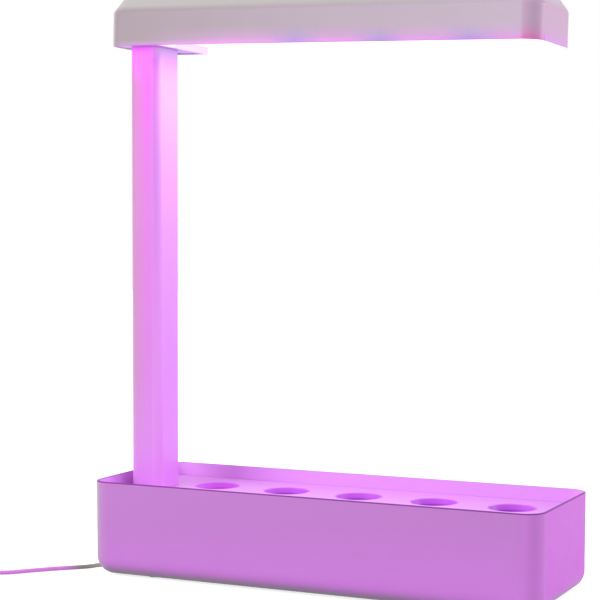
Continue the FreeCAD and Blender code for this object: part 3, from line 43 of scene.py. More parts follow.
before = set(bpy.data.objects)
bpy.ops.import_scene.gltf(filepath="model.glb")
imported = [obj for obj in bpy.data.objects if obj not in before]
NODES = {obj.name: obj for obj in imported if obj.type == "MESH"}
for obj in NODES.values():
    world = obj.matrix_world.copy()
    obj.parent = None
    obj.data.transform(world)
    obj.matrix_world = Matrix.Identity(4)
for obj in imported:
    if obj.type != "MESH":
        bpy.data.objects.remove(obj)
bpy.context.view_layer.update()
BODY = "root"

# The lamp's own frame: the mast's axis, the lower edge there, and the droop of the head
LAMP_ORIGIN = Vector((-0.1965, 0.0, 0.5095))
LAMP_DROOP = math.radians(1.69)

# Packed sizes that the finishes and the closed housing follow, in metres
TUB_END, TUB_SIDE, TUB_CORNER, TUB_RIM = 0.225, 0.0775, 0.019, 0.0910
TRAY_SIDE = 0.060
CUP_MOUTH, CUP_FLANGE = 0.070, 0.0778
MAST_LEFT, MAST_RIGHT = -0.2136, -0.1858
HEAD_START, HEAD_HALF_LENGTH, HALF_DEPTH, HEAD_CORNER = 0.025, 0.2172, 0.050, 0.018
BAND_START, BAND_RISE, BAND_INSET, CROWN_ROUND = 0.0325, 0.0165, 0.012, 0.007
COVER_SCREW, COVER_BOSS = (0.0020, 0.0428), 0.0037
CHIP_FIRST, CHIP_PITCH, CHIP_ROW = 0.057, 0.017, 0.020
BLUE_FIRST, BLUE_PITCH = 0.091, 0.085
RAIL_ROW = 0.0265

# Where the cord turns from grey, the tub's painted shadow, to pink, the painted grow light, and from
# pink to the coil's pale
CORD_LIT, CORD_RESTS = -0.262, -0.326

SMOOTH_ANGLE = math.radians(30)

# Linear colours and the level of the painted glow on the mast's top, close under the lamp: an
# emission that stands in for the lamp's light
BLACK = (0.0, 0.0, 0.0)
GLOW_FRONT, GLOW_RIGHT, GLOW_LEVEL = (1.0, 0.20, 1.0), (0.60, 0.60, 0.55), 0.30

CAMERA_PLACE = (0.654519, -1.451053, 0.338012)
CAMERA_TURN = (87.916908, -0.0569, 25.126595)


def rgb(red, green, blue):
    """Linear colour of a screen colour given from 0 to 255."""
    def linear(value):
        value /= 255
        return value / 12.92 if value <= 0.04045 else ((value + 0.055) / 1.055) ** 2.4

    return (linear(red), linear(green), linear(blue))


# ---------------------------------------------------------------- finishes


class Signal:
    """A socket of a material; arithmetic on it adds Math nodes."""

    def __init__(self, finish, socket):
        self.finish = finish
        self.socket = socket

    def math(self, operation, *others, clamp=False):
        sockets = dict(enumerate((self, *others)))
        return self.finish.node("ShaderNodeMath", sockets, operation=operation, use_clamp=clamp)

    def __add__(self, other):
        return self.math("ADD", other)

    __radd__ = __add__

    def __mul__(self, other):
        return self.math("MULTIPLY", other)

    def __sub__(self, other):
        return self.math("SUBTRACT", other)

    def __rsub__(self, other):
        return self.finish.node("ShaderNodeMath", {0: other, 1: self}, operation="SUBTRACT")

    def __truediv__(self, other):
        return self.math("DIVIDE", other)

    def __pow__(self, other):
        return self.math("POWER", other)

    def clamped(self):
        return self.math("ADD", 0.0, clamp=True)

    def above(self, edge, soft):
        """0 below the edge, 1 above it, blended over a soft width."""
        return ((self - edge) / soft + 0.5).clamped()

    def from_step(self, first, pitch):
        """Signed distance from the nearest of evenly spaced places, as a share of their pitch."""
        steps = (self - first) / pitch
        return steps - steps.math("ROUND")


class Finish:
    """A material built from one shader and the nodes that feed it."""

    def __init__(self, name, **constants):
        self.material = bpy.data.materials.new(name)
        self.material.use_nodes = True
        self.tree = self.material.node_tree
        self.tree.nodes.clear()
        self.shader = self.tree.nodes.new("ShaderNodeBsdfPrincipled")
        output = self.tree.nodes.new("ShaderNodeOutputMaterial")
        self.tree.links.new(self.shader.outputs[0], output.inputs[0])
        for socket, value in constants.items():
            self.set(socket.replace("_", " "), value)

    def node(self, kind, sockets=None, output=0, **settings):
        made = self.tree.nodes.new(kind)
        for name, value in settings.items():
            setattr(made, name, value)
        for name, value in (sockets or {}).items():
            self.feed(made.inputs[name], value)
        return Signal(self, made.outputs[output])

    def feed(self, socket, value):
        if isinstance(value, Signal):
            self.tree.links.new(value.socket, socket)
        elif hasattr(value, "__len__") and len(value) == 3 and socket.type == "RGBA":
            socket.default_value = (*value, 1)
        else:
            socket.default_value = value

    def set(self, socket, value):
        self.feed(self.shader.inputs[socket], value)

    def place(self):
        return self.node("ShaderNodeTexCoord", output="Object")

    def axis(self, which, turned=None):
        """Signal of one coordinate, in metres; turned gives the lamp's own frame."""
        vector = self.place()
        if turned:
            vector = self.node(
                "ShaderNodeMapping",
                {"Vector": vector, "Location": tuple(LAMP_ORIGIN), "Rotation": (0, LAMP_DROOP, 0)},
                vector_type="TEXTURE",
            )
        return self.node("ShaderNodeSeparateXYZ", {0: vector}, output="XYZ".index(which))

    def in_lamp(self):
        """Signals along, across and up in the lamp's own frame."""
        return [self.axis(which, True) for which in "XYZ"]

    def noise(self, scale, detail=2.0, rough=0.5, stretch=None):
        vector = self.place()
        if stretch:
            vector = self.node("ShaderNodeMapping", {"Vector": vector, "Scale": stretch})
        sockets = {"Vector": vector, "Scale": scale, "Detail": detail, "Roughness": rough}
        return self.node("ShaderNodeTexNoise", sockets)

    def mix(self, amount, first, second, blend="MIX"):
        made = self.tree.nodes.new("ShaderNodeMix")
        made.data_type = "RGBA"
        made.blend_type = blend
        for index, value in ((0, amount), (6, first), (7, second)):
            self.feed(made.inputs[index], value)
        return Signal(self, made.outputs[2])

    def worn(self, amount, colour, tint):
        """The colour with a patchy share of it multiplied by a tint."""
        return self.mix(amount, colour, self.mix(1.0, colour, tint, "MULTIPLY"))

    def bump(self, height, depth, strength=0.5, before=None):
        sockets = {"Height": height, "Distance": depth, "Strength": strength}
        if before:
            sockets["Normal"] = before
        return self.node("ShaderNodeBump", sockets)

    def moulded(self, colour, rough, grain=1700.0, depth=0.00004):
        """Fine spark-eroded grain, soft mottling and uneven sheen of a moulded face."""
        mottle = self.noise(55.0, 3.0)
        if isinstance(colour, Signal):
            tint = self.worn(mottle * 0.5, colour, (0.93, 0.92, 0.94))
        else:
            tint = self.mix(mottle, tuple(value * 0.93 for value in colour), colour)
        grains = self.noise(grain, 2.0, 0.6)
        flow = self.noise(14.0, 2.0)
        self.set("Base Color", tint)
        self.set("Roughness", rough + (mottle - 0.5) * 0.10 + (grains - 0.5) * 0.08)
        self.set("Normal", self.bump(grains, depth, 0.35, self.bump(flow, 0.0004, 0.15)))

    def glowing(self, colour, strength):
        self.set("Emission Color", colour)
        self.set("Emission Strength", strength)


def outline_distance(across, along, half_width, half_length, corner):
    """Distance outside a rounded outline, below 0 in it, and how far past each side's end."""
    past_end = (along.math("ABSOLUTE") - (half_length - corner)).math("MAXIMUM", 0.0)
    past_side = (across.math("ABSOLUTE") - (half_width - corner)).math("MAXIMUM", 0.0)
    return (past_end ** 2 + past_side ** 2).math("SQRT") - corner, past_end, past_side


def finish_tub(looks):
    """Violet-lit moulded tub, its colours painted light and shade: paler inside, painted shade along
    the foot, a painted darker line on the rim.
    """
    made = Finish("tub_shell", IOR=1.46, Specular_IOR_Level=0.2)
    x, y, z = made.axis("X"), made.axis("Y"), made.axis("Z")
    # Painted grow light: more saturated violet low down and to the right, duller high up and to the
    # left, deepest on the right end face
    high = (z.above(0.050, 0.080) + (1 - x.above(0.0, 0.5)) * 0.5).clamped()
    body = made.mix(high, looks.tub_low, looks.tub_high)
    body = made.mix(x.above(TUB_END - 0.0025, 0.003), body, looks.tub_end)
    arc_end, arc_side = TUB_END - TUB_CORNER, TUB_SIDE - TUB_CORNER
    # Painted light: the front right corner's arc painted lighter against its own shading
    corner = x.above(arc_end + 0.0025, 0.007) * (1 - y.above(-arc_side - 0.0005, 0.005))
    body = made.mix(corner * 0.85, body, looks.tub_corner)
    # Painted shade: the left end greyer and darker
    body = made.mix(1 - x.above(-arc_end - 0.006, 0.010), body, looks.tub_left)
    outside = outline_distance(y, x, TUB_SIDE, TUB_END, TUB_CORNER)[0]
    # Painted light: the inner wall above the tray paler
    inside = (1 - outside.above(-0.0012, 0.0006)) * z.above(0.030, 0.004)
    body = made.mix(inside, body, looks.tub_inside)
    # Painted shade along the top of the rim, with painted light on the rim's top at the back and at
    # the left end
    pale = (y.above(TUB_SIDE - 0.0155, 0.012) + (1 - x.above(0.0035 - TUB_END, 0.006))).clamped()
    line = made.mix(pale, looks.rim_shade, looks.rim_back)
    body = made.mix(z.above(TUB_RIM, 0.0008) * 0.95, body, line)
    # Painted shade along the foot, darker at the right end and made patchy by noise
    foot = (1 - z / 0.0155).clamped() ** 1.5
    uneven_shade = made.noise(160.0, 3.0)
    shade = made.mix(x.above(TUB_END - 0.013, 0.010), looks.foot_shade, looks.foot_end)
    body = made.mix((foot * (1.0 + uneven_shade * 0.7)).clamped(), body, shade)
    made.moulded(body, 0.40)
    return made.material


def finish_tray(looks):
    """Deck lit from above, a little paler along both of its long sides."""
    made = Finish("tray_shell", IOR=1.46, Specular_IOR_Level=0.22)
    y = made.axis("Y")
    edge = (y.above(TRAY_SIDE, 0.02) + (1 - y.above(-TRAY_SIDE, 0.02))).clamped()
    body = made.mix(edge * 0.35, looks.tray, looks.tub_inside)
    made.moulded(body, 0.36)
    return made.material


def finish_cup(looks):
    """Deeper violet cup: painted light at its mouth and painted shade down inside, the first one
    painted brighter.
    """
    made = Finish("cup_shell", IOR=1.47, Specular_IOR_Level=0.25)
    x, z = made.axis("X"), made.axis("Z")
    body = made.mix(z.above(CUP_MOUTH, 0.020), looks.cup_deep, looks.cup_mouth)
    body = made.mix((1 - x.above(-0.115, 0.05)) * 0.6, body, looks.cup_first)
    body = made.mix(z.above(CUP_FLANGE, 0.0008), body, looks.cup_lip)
    made.moulded(body, 0.34, 1400.0)
    return made.material


def finish_mast(looks):
    """Satin enamel on the tube, with the lamp's light and shade painted on, pinker near the lamp, and
    with faint draw lines up its length.
    """
    made = Finish("mast_enamel", IOR=1.5, Specular_IOR_Level=0.3, Coat_Roughness=0.25)
    x, y, z = made.axis("X"), made.axis("Y"), made.axis("Z")
    right = x.above(MAST_RIGHT, 0.010)
    # Painted light and shade: pinker up towards the lamp, the left edge greyer, the face to the
    # light, the foot, the front right corner and the front top painted brighter, the back corners
    # darker
    low = made.mix(z.above(0.22, 0.20), looks.mast_low, looks.mast_middle)
    body = made.mix(z.above(0.42, 0.12), low, looks.mast_high)
    body = made.mix((1 - (x - MAST_LEFT) / 0.020).clamped() * 0.75, body, looks.mast_edge)
    side = made.mix(z.above(0.30, 0.30), looks.mast_side, looks.mast_side_high)
    body = made.mix(right, body, side)
    body = made.mix((1 - z.above(0.14, 0.10)) * 0.8, body, looks.mast_foot)
    corner = x.above(MAST_RIGHT - 0.0002, 0.008) * (1 - y.above(-0.0150, 0.007))
    body = made.mix(corner * (1 - z.above(0.30, 0.2)) * 0.8, body, looks.mast_corner)
    body = made.mix(z.above(0.487, 0.03) * (1 - right), body, looks.mast_top)
    body = made.mix(y.above(0.0160, 0.004) * 0.6, body, looks.mast_back)
    lines = made.noise(420.0, 3.0, 0.6, (1.0, 1.0, 0.012))
    peel = made.noise(520.0, 2.0)
    scuff = made.noise(70.0, 4.0, 0.7)
    made.set("Base Color", made.worn(scuff * 0.25, body, (0.90, 0.86, 0.92)))
    made.set("Roughness", 0.30 + (scuff - 0.5) * 0.12 + lines * 0.06)
    made.set("Coat Weight", 0.08 + (peel - 0.5) * 0.08)
    made.set("Normal", made.bump(lines, 0.00008, 0.35, made.bump(peel, 0.00006, 0.3)))
    # Painted light: emission on the mast's top, magenta in front and pale on the right face
    lit = (1 - y.above(-0.0140, 0.006)).math("MAXIMUM", right) * x.above(MAST_LEFT + 0.0011, 0.004)
    glow = made.mix(right, GLOW_FRONT, GLOW_RIGHT)
    made.glowing(made.mix(z.above(0.5010, 0.010) * lit, BLACK, glow), GLOW_LEVEL)
    return made.material


def finish_head(looks):
    """Pale warm shell with painted light and shade: pink and violet light along its lower edge, and
    an inner lip lit by emission.
    """
    made = Finish("head_shell", IOR=1.46, Specular_IOR_Level=0.3)
    along, across, up = made.in_lamp()
    from_middle = along - (HEAD_HALF_LENGTH - HEAD_START)
    distance, past_end, past_side = outline_distance(
        across, from_middle, HALF_DEPTH, HEAD_HALF_LENGTH, HEAD_CORNER
    )
    corner = past_end.above(0.0022, 0.003) * past_side.above(0.0012, 0.002) * along.above(0.2, 0.1)

    # Face, slanted band and crown, both ends, upright corners, all painted light and shade: the face
    # darker by the mast, the crown, ends and upright corners each in the tone the light gives them
    face = made.mix(along.above(0.2, 0.42), looks.head_near, looks.head_far)
    over_face = up.above(BAND_START + 0.0025, 0.006) * (1 - along.above(0.400, 0.010))
    body = made.mix(over_face, face, looks.head_crown)
    body = made.mix(1 - along.above(-0.0185, 0.006), body, looks.head_crown)
    body = made.mix(along.above(0.4065, 0.004), body, looks.head_end)
    body = made.mix(corner * (1 - up.above(0.034, 0.008)) * 0.75, body, looks.head_corner)

    # Light that spills on the lower edge, bluer below each blue chip
    patch = along.from_step(BLUE_FIRST, BLUE_PITCH)
    blue = (1 - patch.math("ABSOLUTE") / 0.34).clamped() * along.above(0.125, 0.010)
    warm = made.mix(corner, looks.spill_pink, looks.spill_red)
    spill = made.mix(blue * 0.75, warm, looks.spill_blue)
    wander = made.noise(26.0, 2.0)
    near = (1 - up / (0.0035 + wander * 0.0030)).clamped() ** 1.2 * along.above(-0.010, 0.03)
    wide = (1 - up / 0.0175).clamped() ** 1.4 * along.above(0.060, 0.09)
    body = made.mix((near * 0.6 + wide * 0.8).clamped(), body, spill)

    # Inner side of the lip: painted shade by the mast, and the window's light painted on further on,
    # as emission
    hollow = (1 - distance.above(-0.0014, 0.0006)) * (1 - up.above(0.0095, 0.001))
    shaded = hollow * (1 - along.above(0.036, 0.020)) * across.above(0.0, 0.01)
    made.moulded(made.mix(shaded, body, looks.shade_by_mast), 0.38)
    lip = made.mix(across.above(0.0445, 0.003), looks.window_glow, looks.lip_pink)
    flooded = hollow * along.above(0.026, 0.020)
    made.glowing(made.mix(flooded, BLACK, lip), looks.window_strength)
    return made.material


def beside_mast(along, across):
    """Share of the light's underside that the mast keeps out of the glare, fading away from it."""
    return (1 - (along - 0.024) / 0.020).clamped() * across.above(-0.020, 0.012)


def finish_bezel(looks):
    """Bezel with the window's light painted on as emission, and a darker pad of painted shade round
    the mast and beside it.
    """
    made = Finish("lamp_bezel", IOR=1.46, Specular_IOR_Level=0.42)
    along, across, _ = made.in_lamp()
    pad = (1 - along.above(0.0300, 0.012)).math("MAXIMUM", beside_mast(along, across))
    made.moulded(made.mix(pad, looks.head_far, looks.shade_by_mast), 0.38)
    flood = made.mix(made.noise(30.0, 2.0) * 0.3, looks.window_glow, looks.window_pink)
    made.glowing(made.mix(pad, flood, (0.02, 0.005, 0.02)), looks.window_strength)
    return made.material


def finish_window(looks):
    """Frosted window: bright all over, with the chips showing as softer red and blue spots."""
    made = Finish("frosted_window", Roughness=0.45, IOR=1.49)
    along, across, _ = made.in_lamp()
    # Millimetres from the nearest chip, along the board and across it
    from_chip = along.from_step(CHIP_FIRST, CHIP_PITCH).math("ABSOLUTE") * (CHIP_PITCH * 1000)
    from_row = (across.math("ABSOLUTE") - CHIP_ROW).math("ABSOLUTE") * 1000
    spot = (1 - (from_chip ** 2 + from_row ** 2).math("SQRT") / 11).clamped() ** 1.5
    from_blue = along.from_step(BLUE_FIRST, BLUE_PITCH).math("ABSOLUTE") * (BLUE_PITCH * 1000)
    blue = (1 - from_blue / 9).clamped()
    tint = made.mix(blue * 0.8, looks.window_pink, looks.window_blue)
    glow = made.mix(spot, looks.window_glow, tint)
    # Painted shade on the window beside the mast
    glow = made.mix(beside_mast(along, across) * 0.9, glow, looks.shade_by_mast)
    frost = made.noise(900.0, 2.0)
    sockets = {"Vector": made.place(), "Scale": 320.0}
    prism = made.node("ShaderNodeTexWave", sockets, output=1, bands_direction="X")
    made.set("Base Color", made.mix(frost * 0.2, (0.93, 0.88, 0.94), (0.82, 0.76, 0.86)))
    made.set("Normal", made.bump(prism, 0.0003, 0.3, made.bump(frost, 0.00005, 0.3)))
    made.glowing(glow, looks.window_strength)
    return made.material


def finish_rubber(name, colour, rough=0.72):
    """Plain rubber or plastic with a very fine grain."""
    made = Finish(name, IOR=1.5, Specular_IOR_Level=0.3)
    made.moulded(colour, rough, 2200.0, 0.00005)
    return made.material


def finish_cord(looks):
    """Thin sheath: grey by the tub as painted shadow, pink where the lamp lights the table as painted
    light, pale in the coil.
    """
    made = Finish("cord_sheath", IOR=1.48, Specular_IOR_Level=0.4)
    x = made.axis("X")
    away = (1 - (x - CORD_LIT) / 0.014).clamped()
    body = made.mix(away, looks.cord_near, looks.cord_far)
    body = made.mix((1 - (x - CORD_RESTS) / 0.020).clamped(), body, looks.cord_rest)
    rings = made.noise(900.0, 2.0)
    smudge = made.noise(60.0, 3.0)
    made.set("Base Color", made.worn(smudge * 0.3, body, (0.82, 0.80, 0.84)))
    made.set("Roughness", 0.42 + (smudge - 0.5) * 0.14)
    made.set("Normal", made.bump(rings, 0.00005, 0.3))
    return made.material


def finish_metal(name, colour, rough, lines=(1.0, 1.0, 1.0)):
    """Bare metal with fine tool lines and uneven polish."""
    made = Finish(name, Metallic=1.0)
    brush = made.noise(600.0, 3.0, 0.6, lines)
    stain = made.noise(80.0, 3.0)
    made.set("Base Color", made.mix(stain * 0.5, colour, tuple(value * 0.82 for value in colour)))
    made.set("Roughness", rough + (brush - 0.5) * 0.16)
    made.set("Normal", made.bump(brush, 0.00003, 0.3))
    return made.material


def finish_board(looks):
    """White solder mask over copper runs that show as faint raised lines."""
    made = Finish("board_white", IOR=1.5, Coat_Roughness=0.3)
    along, across, _ = made.in_lamp()
    between_chips = along.from_step(CHIP_FIRST - CHIP_PITCH / 2, CHIP_PITCH)
    run = between_chips.math("ABSOLUTE").above(0.06, 0.02)
    rail = (across.math("ABSOLUTE") - RAIL_ROW).math("ABSOLUTE").above(0.0012, 0.0003)
    relief = run.math("MINIMUM", rail)
    speck = made.noise(500.0, 2.0)
    made.set("Base Color", made.mix(relief, (0.66, 0.66, 0.62), (0.84, 0.84, 0.82)))
    made.set("Roughness", 0.38 + (speck - 0.5) * 0.1)
    made.set("Coat Weight", 0.3 + speck * 0.1)
    made.set("Normal", made.bump(relief, 0.00004, 0.4, made.bump(speck, 0.00002, 0.3)))
    return made.material


def finish_chip(name, colour, strength):
    """A chip's phosphor lens, brighter in the middle of its pattern."""
    made = Finish(name, Roughness=0.3, IOR=1.5, Emission_Strength=strength)
    grains = made.noise(1500.0, 2.0)
    made.set("Base Color", made.mix(grains * 0.4, colour, tuple(value * 0.7 for value in colour)))
    made.set("Emission Color", made.mix(grains * 0.3, colour, (1.0, 0.9, 1.0)))
    made.set("Normal", made.bump(grains, 0.00004, 0.3))
    return made.material


# ---------------------------------------------------------------- modelling


def deselect():
    """Leave edit mode and select nothing."""
    if bpy.context.object and bpy.context.object.mode != "OBJECT":
        bpy.ops.object.mode_set(mode="OBJECT")
    bpy.ops.object.select_all(action="DESELECT")


def take(piece):
    """Make a piece the only selected one, and the active one."""
    deselect()
    piece.select_set(True)
    bpy.context.view_layer.objects.active = piece
    return piece


def settle(piece, name, material, replaced=()):
    """Name, finish and seat a piece: place in its mesh, smooth by angle, riding on the body."""
    take(piece)
    piece.name = piece.data.name = name
    bpy.ops.object.transform_apply(location=True, rotation=True, scale=True)
    bpy.ops.object.shade_smooth_by_angle(angle=SMOOTH_ANGLE)
    piece.data.materials.clear()
    piece.data.materials.append(material)
    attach(piece, BODY)
    if replaced:
        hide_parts(*replaced)


def tidy_normals(piece):
    """Merge doubled points and turn every face outward."""
    take(piece)
    bpy.ops.object.mode_set(mode="EDIT")
    bpy.ops.mesh.select_all(action="SELECT")
    bpy.ops.mesh.remove_doubles(threshold=0.000005)
    bpy.ops.mesh.normals_make_consistent(inside=False)
    bpy.ops.object.mode_set(mode="OBJECT")


def choose_faces(piece, test):
    """Select, in edit mode, the faces whose centre and normal pass the test."""
    mesh = bmesh.from_edit_mesh(piece.data)
    for face in mesh.faces:
        face.select = False
    chosen = 0
    for face in mesh.faces:
        if test(piece.matrix_world @ face.calc_center_median(), face.normal):
            face.select = True
            chosen += 1
    mesh.select_flush_mode()
    bmesh.update_edit_mesh(piece.data)
    if not chosen:
        raise RuntimeError("no face of " + piece.name + " was found there")


def choose_edges(piece, test):
    """Select, in edit mode, the edges whose two ends pass the test."""
    bpy.ops.mesh.select_mode(type="EDGE")
    mesh = bmesh.from_edit_mesh(piece.data)
    for edge in mesh.edges:
        edge.select = False
    chosen = 0
    for edge in mesh.edges:
        first, second = (piece.matrix_world @ vertex.co for vertex in edge.verts)
        if test(first, second):
            edge.select = True
            chosen += 1
    mesh.select_flush_mode()
    bmesh.update_edit_mesh(piece.data)
    if not chosen:
        raise RuntimeError("no edge of " + piece.name + " was found there")


def apply_modifier(piece, kind, **settings):
    """Add a modifier with its settings and apply it."""
    take(piece)
    made = piece.modifiers.new(kind.lower(), kind)
    for name, value in settings.items():
        setattr(made, name, value)
    bpy.ops.object.modifier_apply(modifier=made.name)


def block(low, high):
    """A cube brought to two corners, left in edit mode with nothing selected."""
    low, high = Vector(low), Vector(high)
    deselect()
    bpy.ops.mesh.primitive_cube_add(size=1, location=(low + high) / 2)
    piece = bpy.context.object
    piece.scale = high - low
    bpy.ops.object.transform_apply(location=False, rotation=False, scale=True)
    bpy.ops.object.mode_set(mode="EDIT")
    bpy.ops.mesh.select_all(action="DESELECT")
    return piece


# ---------------------------------------------------------------- settings


class PlanterSizes(bpy.types.PropertyGroup):
    """Sizes of the pieces that are made here."""

    cord_width: FloatProperty(
        name="Cord width", description="Diameter of the lead", default=0.004, unit="LENGTH"
    )
    cord_length: FloatProperty(
        name="Cord length", description="Lead from tub to adapter", default=1.5, unit="LENGTH"
    )
    coil_turns: IntProperty(
        name="Coil turns", description="Whole turns of the coiled lead", default=9, min=1
    )
    turn_points: IntProperty(
        name="Points a turn", description="Control points in each turn", default=14, min=12
    )
    relief_rings: IntProperty(
        name="Relief rings", description="Flex ribs on the strain relief", default=5, min=2
    )
    adapter_round: FloatProperty(
        name="Adapter round", description="Round of the adapter's edges", default=0.005, unit="LENGTH"
    )


def colour_setting(name, description, screen):
    """A colour of the looks, given as a screen colour from 0 to 255."""
    return FloatVectorProperty(
        name=name, description=description, default=rgb(*screen), subtype="COLOR", min=0, max=1
    )


class PlanterLooks(bpy.types.PropertyGroup):
    """Colours of the finishes, most of them with light and shade painted in."""

    # Tub: lit and shaded copies of its plastic, with the grow light's violet and its shade painted in
    tub_high: colour_setting("Tub, high", "Tub's outside below the rim", (202, 134, 213))
    tub_low: colour_setting("Tub, low", "Tub's outside near the foot", (216, 134, 232))
    tub_corner: colour_setting("Tub corner", "Tub's corner by its end face", (219, 137, 232))
    tub_left: colour_setting("Tub, left", "Tub's end by the lead", (186, 154, 191))
    tub_end: colour_setting("Tub end", "Tub's end face", (211, 97, 227))
    tub_inside: colour_setting("Tub inside", "Inner wall above the tray", (236, 172, 248))
    rim_shade: colour_setting("Rim line", "Top of the rim", (130, 34, 150))
    rim_back: colour_setting("Rim, back", "Top of the rim at the back", (222, 164, 230))
    foot_shade: colour_setting("Foot shade", "Along the foot of the tub", (134, 136, 130))
    foot_end: colour_setting("Foot, right end", "Along the foot at the right end", (96, 78, 102))
    tray: colour_setting("Tray", "Deck round the cups", (229, 159, 242))
    cup_lip: colour_setting("Cup lip", "Flange of each cup", (228, 150, 244))
    # Painted light at the cups' mouths and on the first cup, painted shade deeper in them
    cup_mouth: colour_setting("Cup mouth", "Inside of each cup near its mouth", (216, 102, 246))
    cup_first: colour_setting("First cup", "Inside of the cup next to the mast", (238, 108, 255))
    cup_deep: colour_setting("Cup, deep", "Inside of each cup further down", (160, 64, 206))
    # Mast: lit and shaded copies of its enamel, painted light and shade
    mast_foot: colour_setting("Mast foot", "Mast just above the tray", (232, 152, 245))
    mast_top: colour_setting("Mast top", "Mast's front, right under the lamp", (255, 122, 255))
    mast_back: colour_setting("Mast back", "Mast's back corners", (196, 156, 202))
    mast_corner: colour_setting("Mast corner", "Mast's front right corner", (246, 168, 255))
    mast_low: colour_setting("Mast, low", "Mast near the tub", (224, 143, 238))
    mast_middle: colour_setting("Mast, middle", "Mast half way up", (232, 129, 236))
    mast_high: colour_setting("Mast, high", "Mast under the lamp", (243, 100, 240))
    mast_side: colour_setting("Mast side", "Mast's face to the light", (222, 136, 242))
    mast_edge: colour_setting("Mast edge", "Mast's face away from the light", (200, 160, 172))
    mast_side_high: colour_setting("Mast side, high", "That face under the lamp", (210, 156, 232))
    # Head: lit and shaded copies of its pale plastic
    head_near: colour_setting("Head, near", "Lamp's side by the mast", (171, 154, 163))
    head_far: colour_setting("Head, far", "Lamp's side at its end", (213, 194, 213))
    head_crown: colour_setting("Head crown", "Lamp's top and upper band", (205, 199, 198))
    head_end: colour_setting("Head end", "Lamp's end face", (214, 174, 209))
    head_corner: colour_setting("Head corner", "Lamp's upright corners", (213, 174, 209))
    # Painted shade round the mast under the lamp
    shade_by_mast: colour_setting("Bezel pad", "Flush pad round the mast", (194, 118, 232))
    spill_pink: colour_setting("Spill, pink", "Light spill on the lower edge", (240, 166, 243))
    spill_red: colour_setting("Spill, red", "Light spill on the corners", (244, 132, 208))
    spill_blue: colour_setting("Spill, blue", "Spill below the blue chips", (176, 156, 240))
    # Emission of the housing's inner lip: painted light
    lip_pink: colour_setting("Inner lip", "Housing's far inner lip", (221, 206, 221))
    window_glow: colour_setting("Window", "Frosted window between chips", (255, 228, 255))
    window_pink: colour_setting("Window, pink", "Window over the red chips", (255, 170, 235))
    window_blue: colour_setting("Window, blue", "Window over the blue chips", (190, 170, 255))
    window_strength: FloatProperty(
        name="Window strength", description="Light of the window", default=1.35, min=0
    )
    # Cord: painted shadow of the tub near it, painted grow light further out
    cord_near: colour_setting("Cord, near", "Cord by the tub", (156, 150, 142))
    cord_far: colour_setting("Cord, far", "Cord further out", (246, 150, 252))
    cord_rest: colour_setting("Cord, coiled", "Cord out of the lamp's light", (206, 188, 208))


class PlanterStage(bpy.types.PropertyGroup):
    """Camera, light and floor."""

    lens: FloatProperty(name="Lens", description="Focal length of the camera", default=101.555)
    shift: FloatVectorProperty(
        name="Shift", description="Shift of the view", default=(-0.018792, -0.023068), size=2
    )
    world_level: FloatProperty(
        name="World level", description="Plain light from all round", default=0.56, min=0
    )
    key_power: FloatProperty(
        name="Key power", description="Soft lamp from the front left", default=30.0, unit="POWER"
    )
    fill_power: FloatProperty(
        name="Fill power", description="Soft lamp, right and behind", default=22.0, unit="POWER"
    )
    grow_power: FloatProperty(
        name="Grow power", description="Light under the head", default=0.56, unit="POWER"
    )
    floor_near: FloatProperty(
        name="Floor, near", description="Floor's own white by the planter", default=0.78, min=0
    )
    floor_gain: FloatProperty(
        name="Floor gain", description="What it gains further off", default=0.31, min=0
    )


def sizes():
    return bpy.context.scene.planter_sizes


def looks():
    return bpy.context.scene.planter_looks


# ---------------------------------------------------------------- cord and what is on it

# Route of the lead over the table, from the strain relief to the coil
LEAD_ROUTE = [
    (-0.2242, -0.0460, 0.0048),
    (-0.2322, -0.0460, 0.0048),
    (-0.2435, -0.0470, 0.0020),
    (-0.2585, -0.0605, 0.0020),
    (-0.2730, -0.0745, 0.0020),
    (-0.2880, -0.0915, 0.0020),
    (-0.2970, -0.1035, 0.0020),
]
COIL_MIDDLE = Vector((-0.350, -0.130, 0.0))
COIL_IN, COIL_OUT = math.radians(-36.87), math.radians(-90.0)
COIL_OUTER, COIL_CENTRE, COIL_INNER = 0.0262, 0.0213, 0.0164
COIL_ROWS = (0.0034, 0.0074, 0.0114, 0.0154)
# Radius and row of the turns in the coil, in the order in which they are wound
COIL_PLACES = [
    (COIL_OUTER, 0),
    (COIL_CENTRE, 0),
    (COIL_INNER, 0),
    (COIL_INNER, 1),
    (COIL_CENTRE, 1),
    (COIL_OUTER, 1),
    (COIL_OUTER, 2),
    (COIL_CENTRE, 2),
    (COIL_CENTRE, 3),
    (COIL_OUTER, 3),
]
# Share of a turn over which the lead moves to the next place
PLACE_CHANGE = 0.3
# Control points on the straight ends, as distances from where they meet the coil
STUB_IN = (0.0305, 0.0165, 0.004)
STUB_OUT = (0.004, 0.0165, 0.0275)


def around(middle, radius, angle, height):
    """A point on a level circle."""
    return middle + Vector((radius * math.cos(angle), radius * math.sin(angle), height))


def coil_points(turns, each):
    """Control points of the wound turns, which move over to the next place in a long easy step."""
    whole = turns + (COIL_IN - COIL_OUT) / math.tau
    held = whole / len(COIL_PLACES)
    # A quadratic spline runs inside its control points by this share
    outward = 8 / (6 + 2 * math.cos(math.tau / each))
    points = []
    count = round(whole * each)
    for number in range(count + 1):
        done = whole * number / count
        radius, height = COIL_PLACES[0][0], COIL_ROWS[COIL_PLACES[0][1]]
        for place, (before, after) in enumerate(zip(COIL_PLACES, COIL_PLACES[1:]), 1):
            step = min(max((done - place * held) / PLACE_CHANGE + 0.5, 0), 1)
            step = step * step * (3 - 2 * step)
            radius += (after[0] - before[0]) * step
            height += (COIL_ROWS[after[1]] - COIL_ROWS[before[1]]) * step
        points.append(around(COIL_MIDDLE, radius * outward, COIL_IN - math.tau * done, height))
    return points


def stub(angle, sense, height):
    """Where the lead meets the coil on a tangent, and its way out from there."""
    foot = around(COIL_MIDDLE, COIL_OUTER, angle, height)
    along = Vector((-math.sin(angle), math.cos(angle), 0)) * sense
    return foot, along


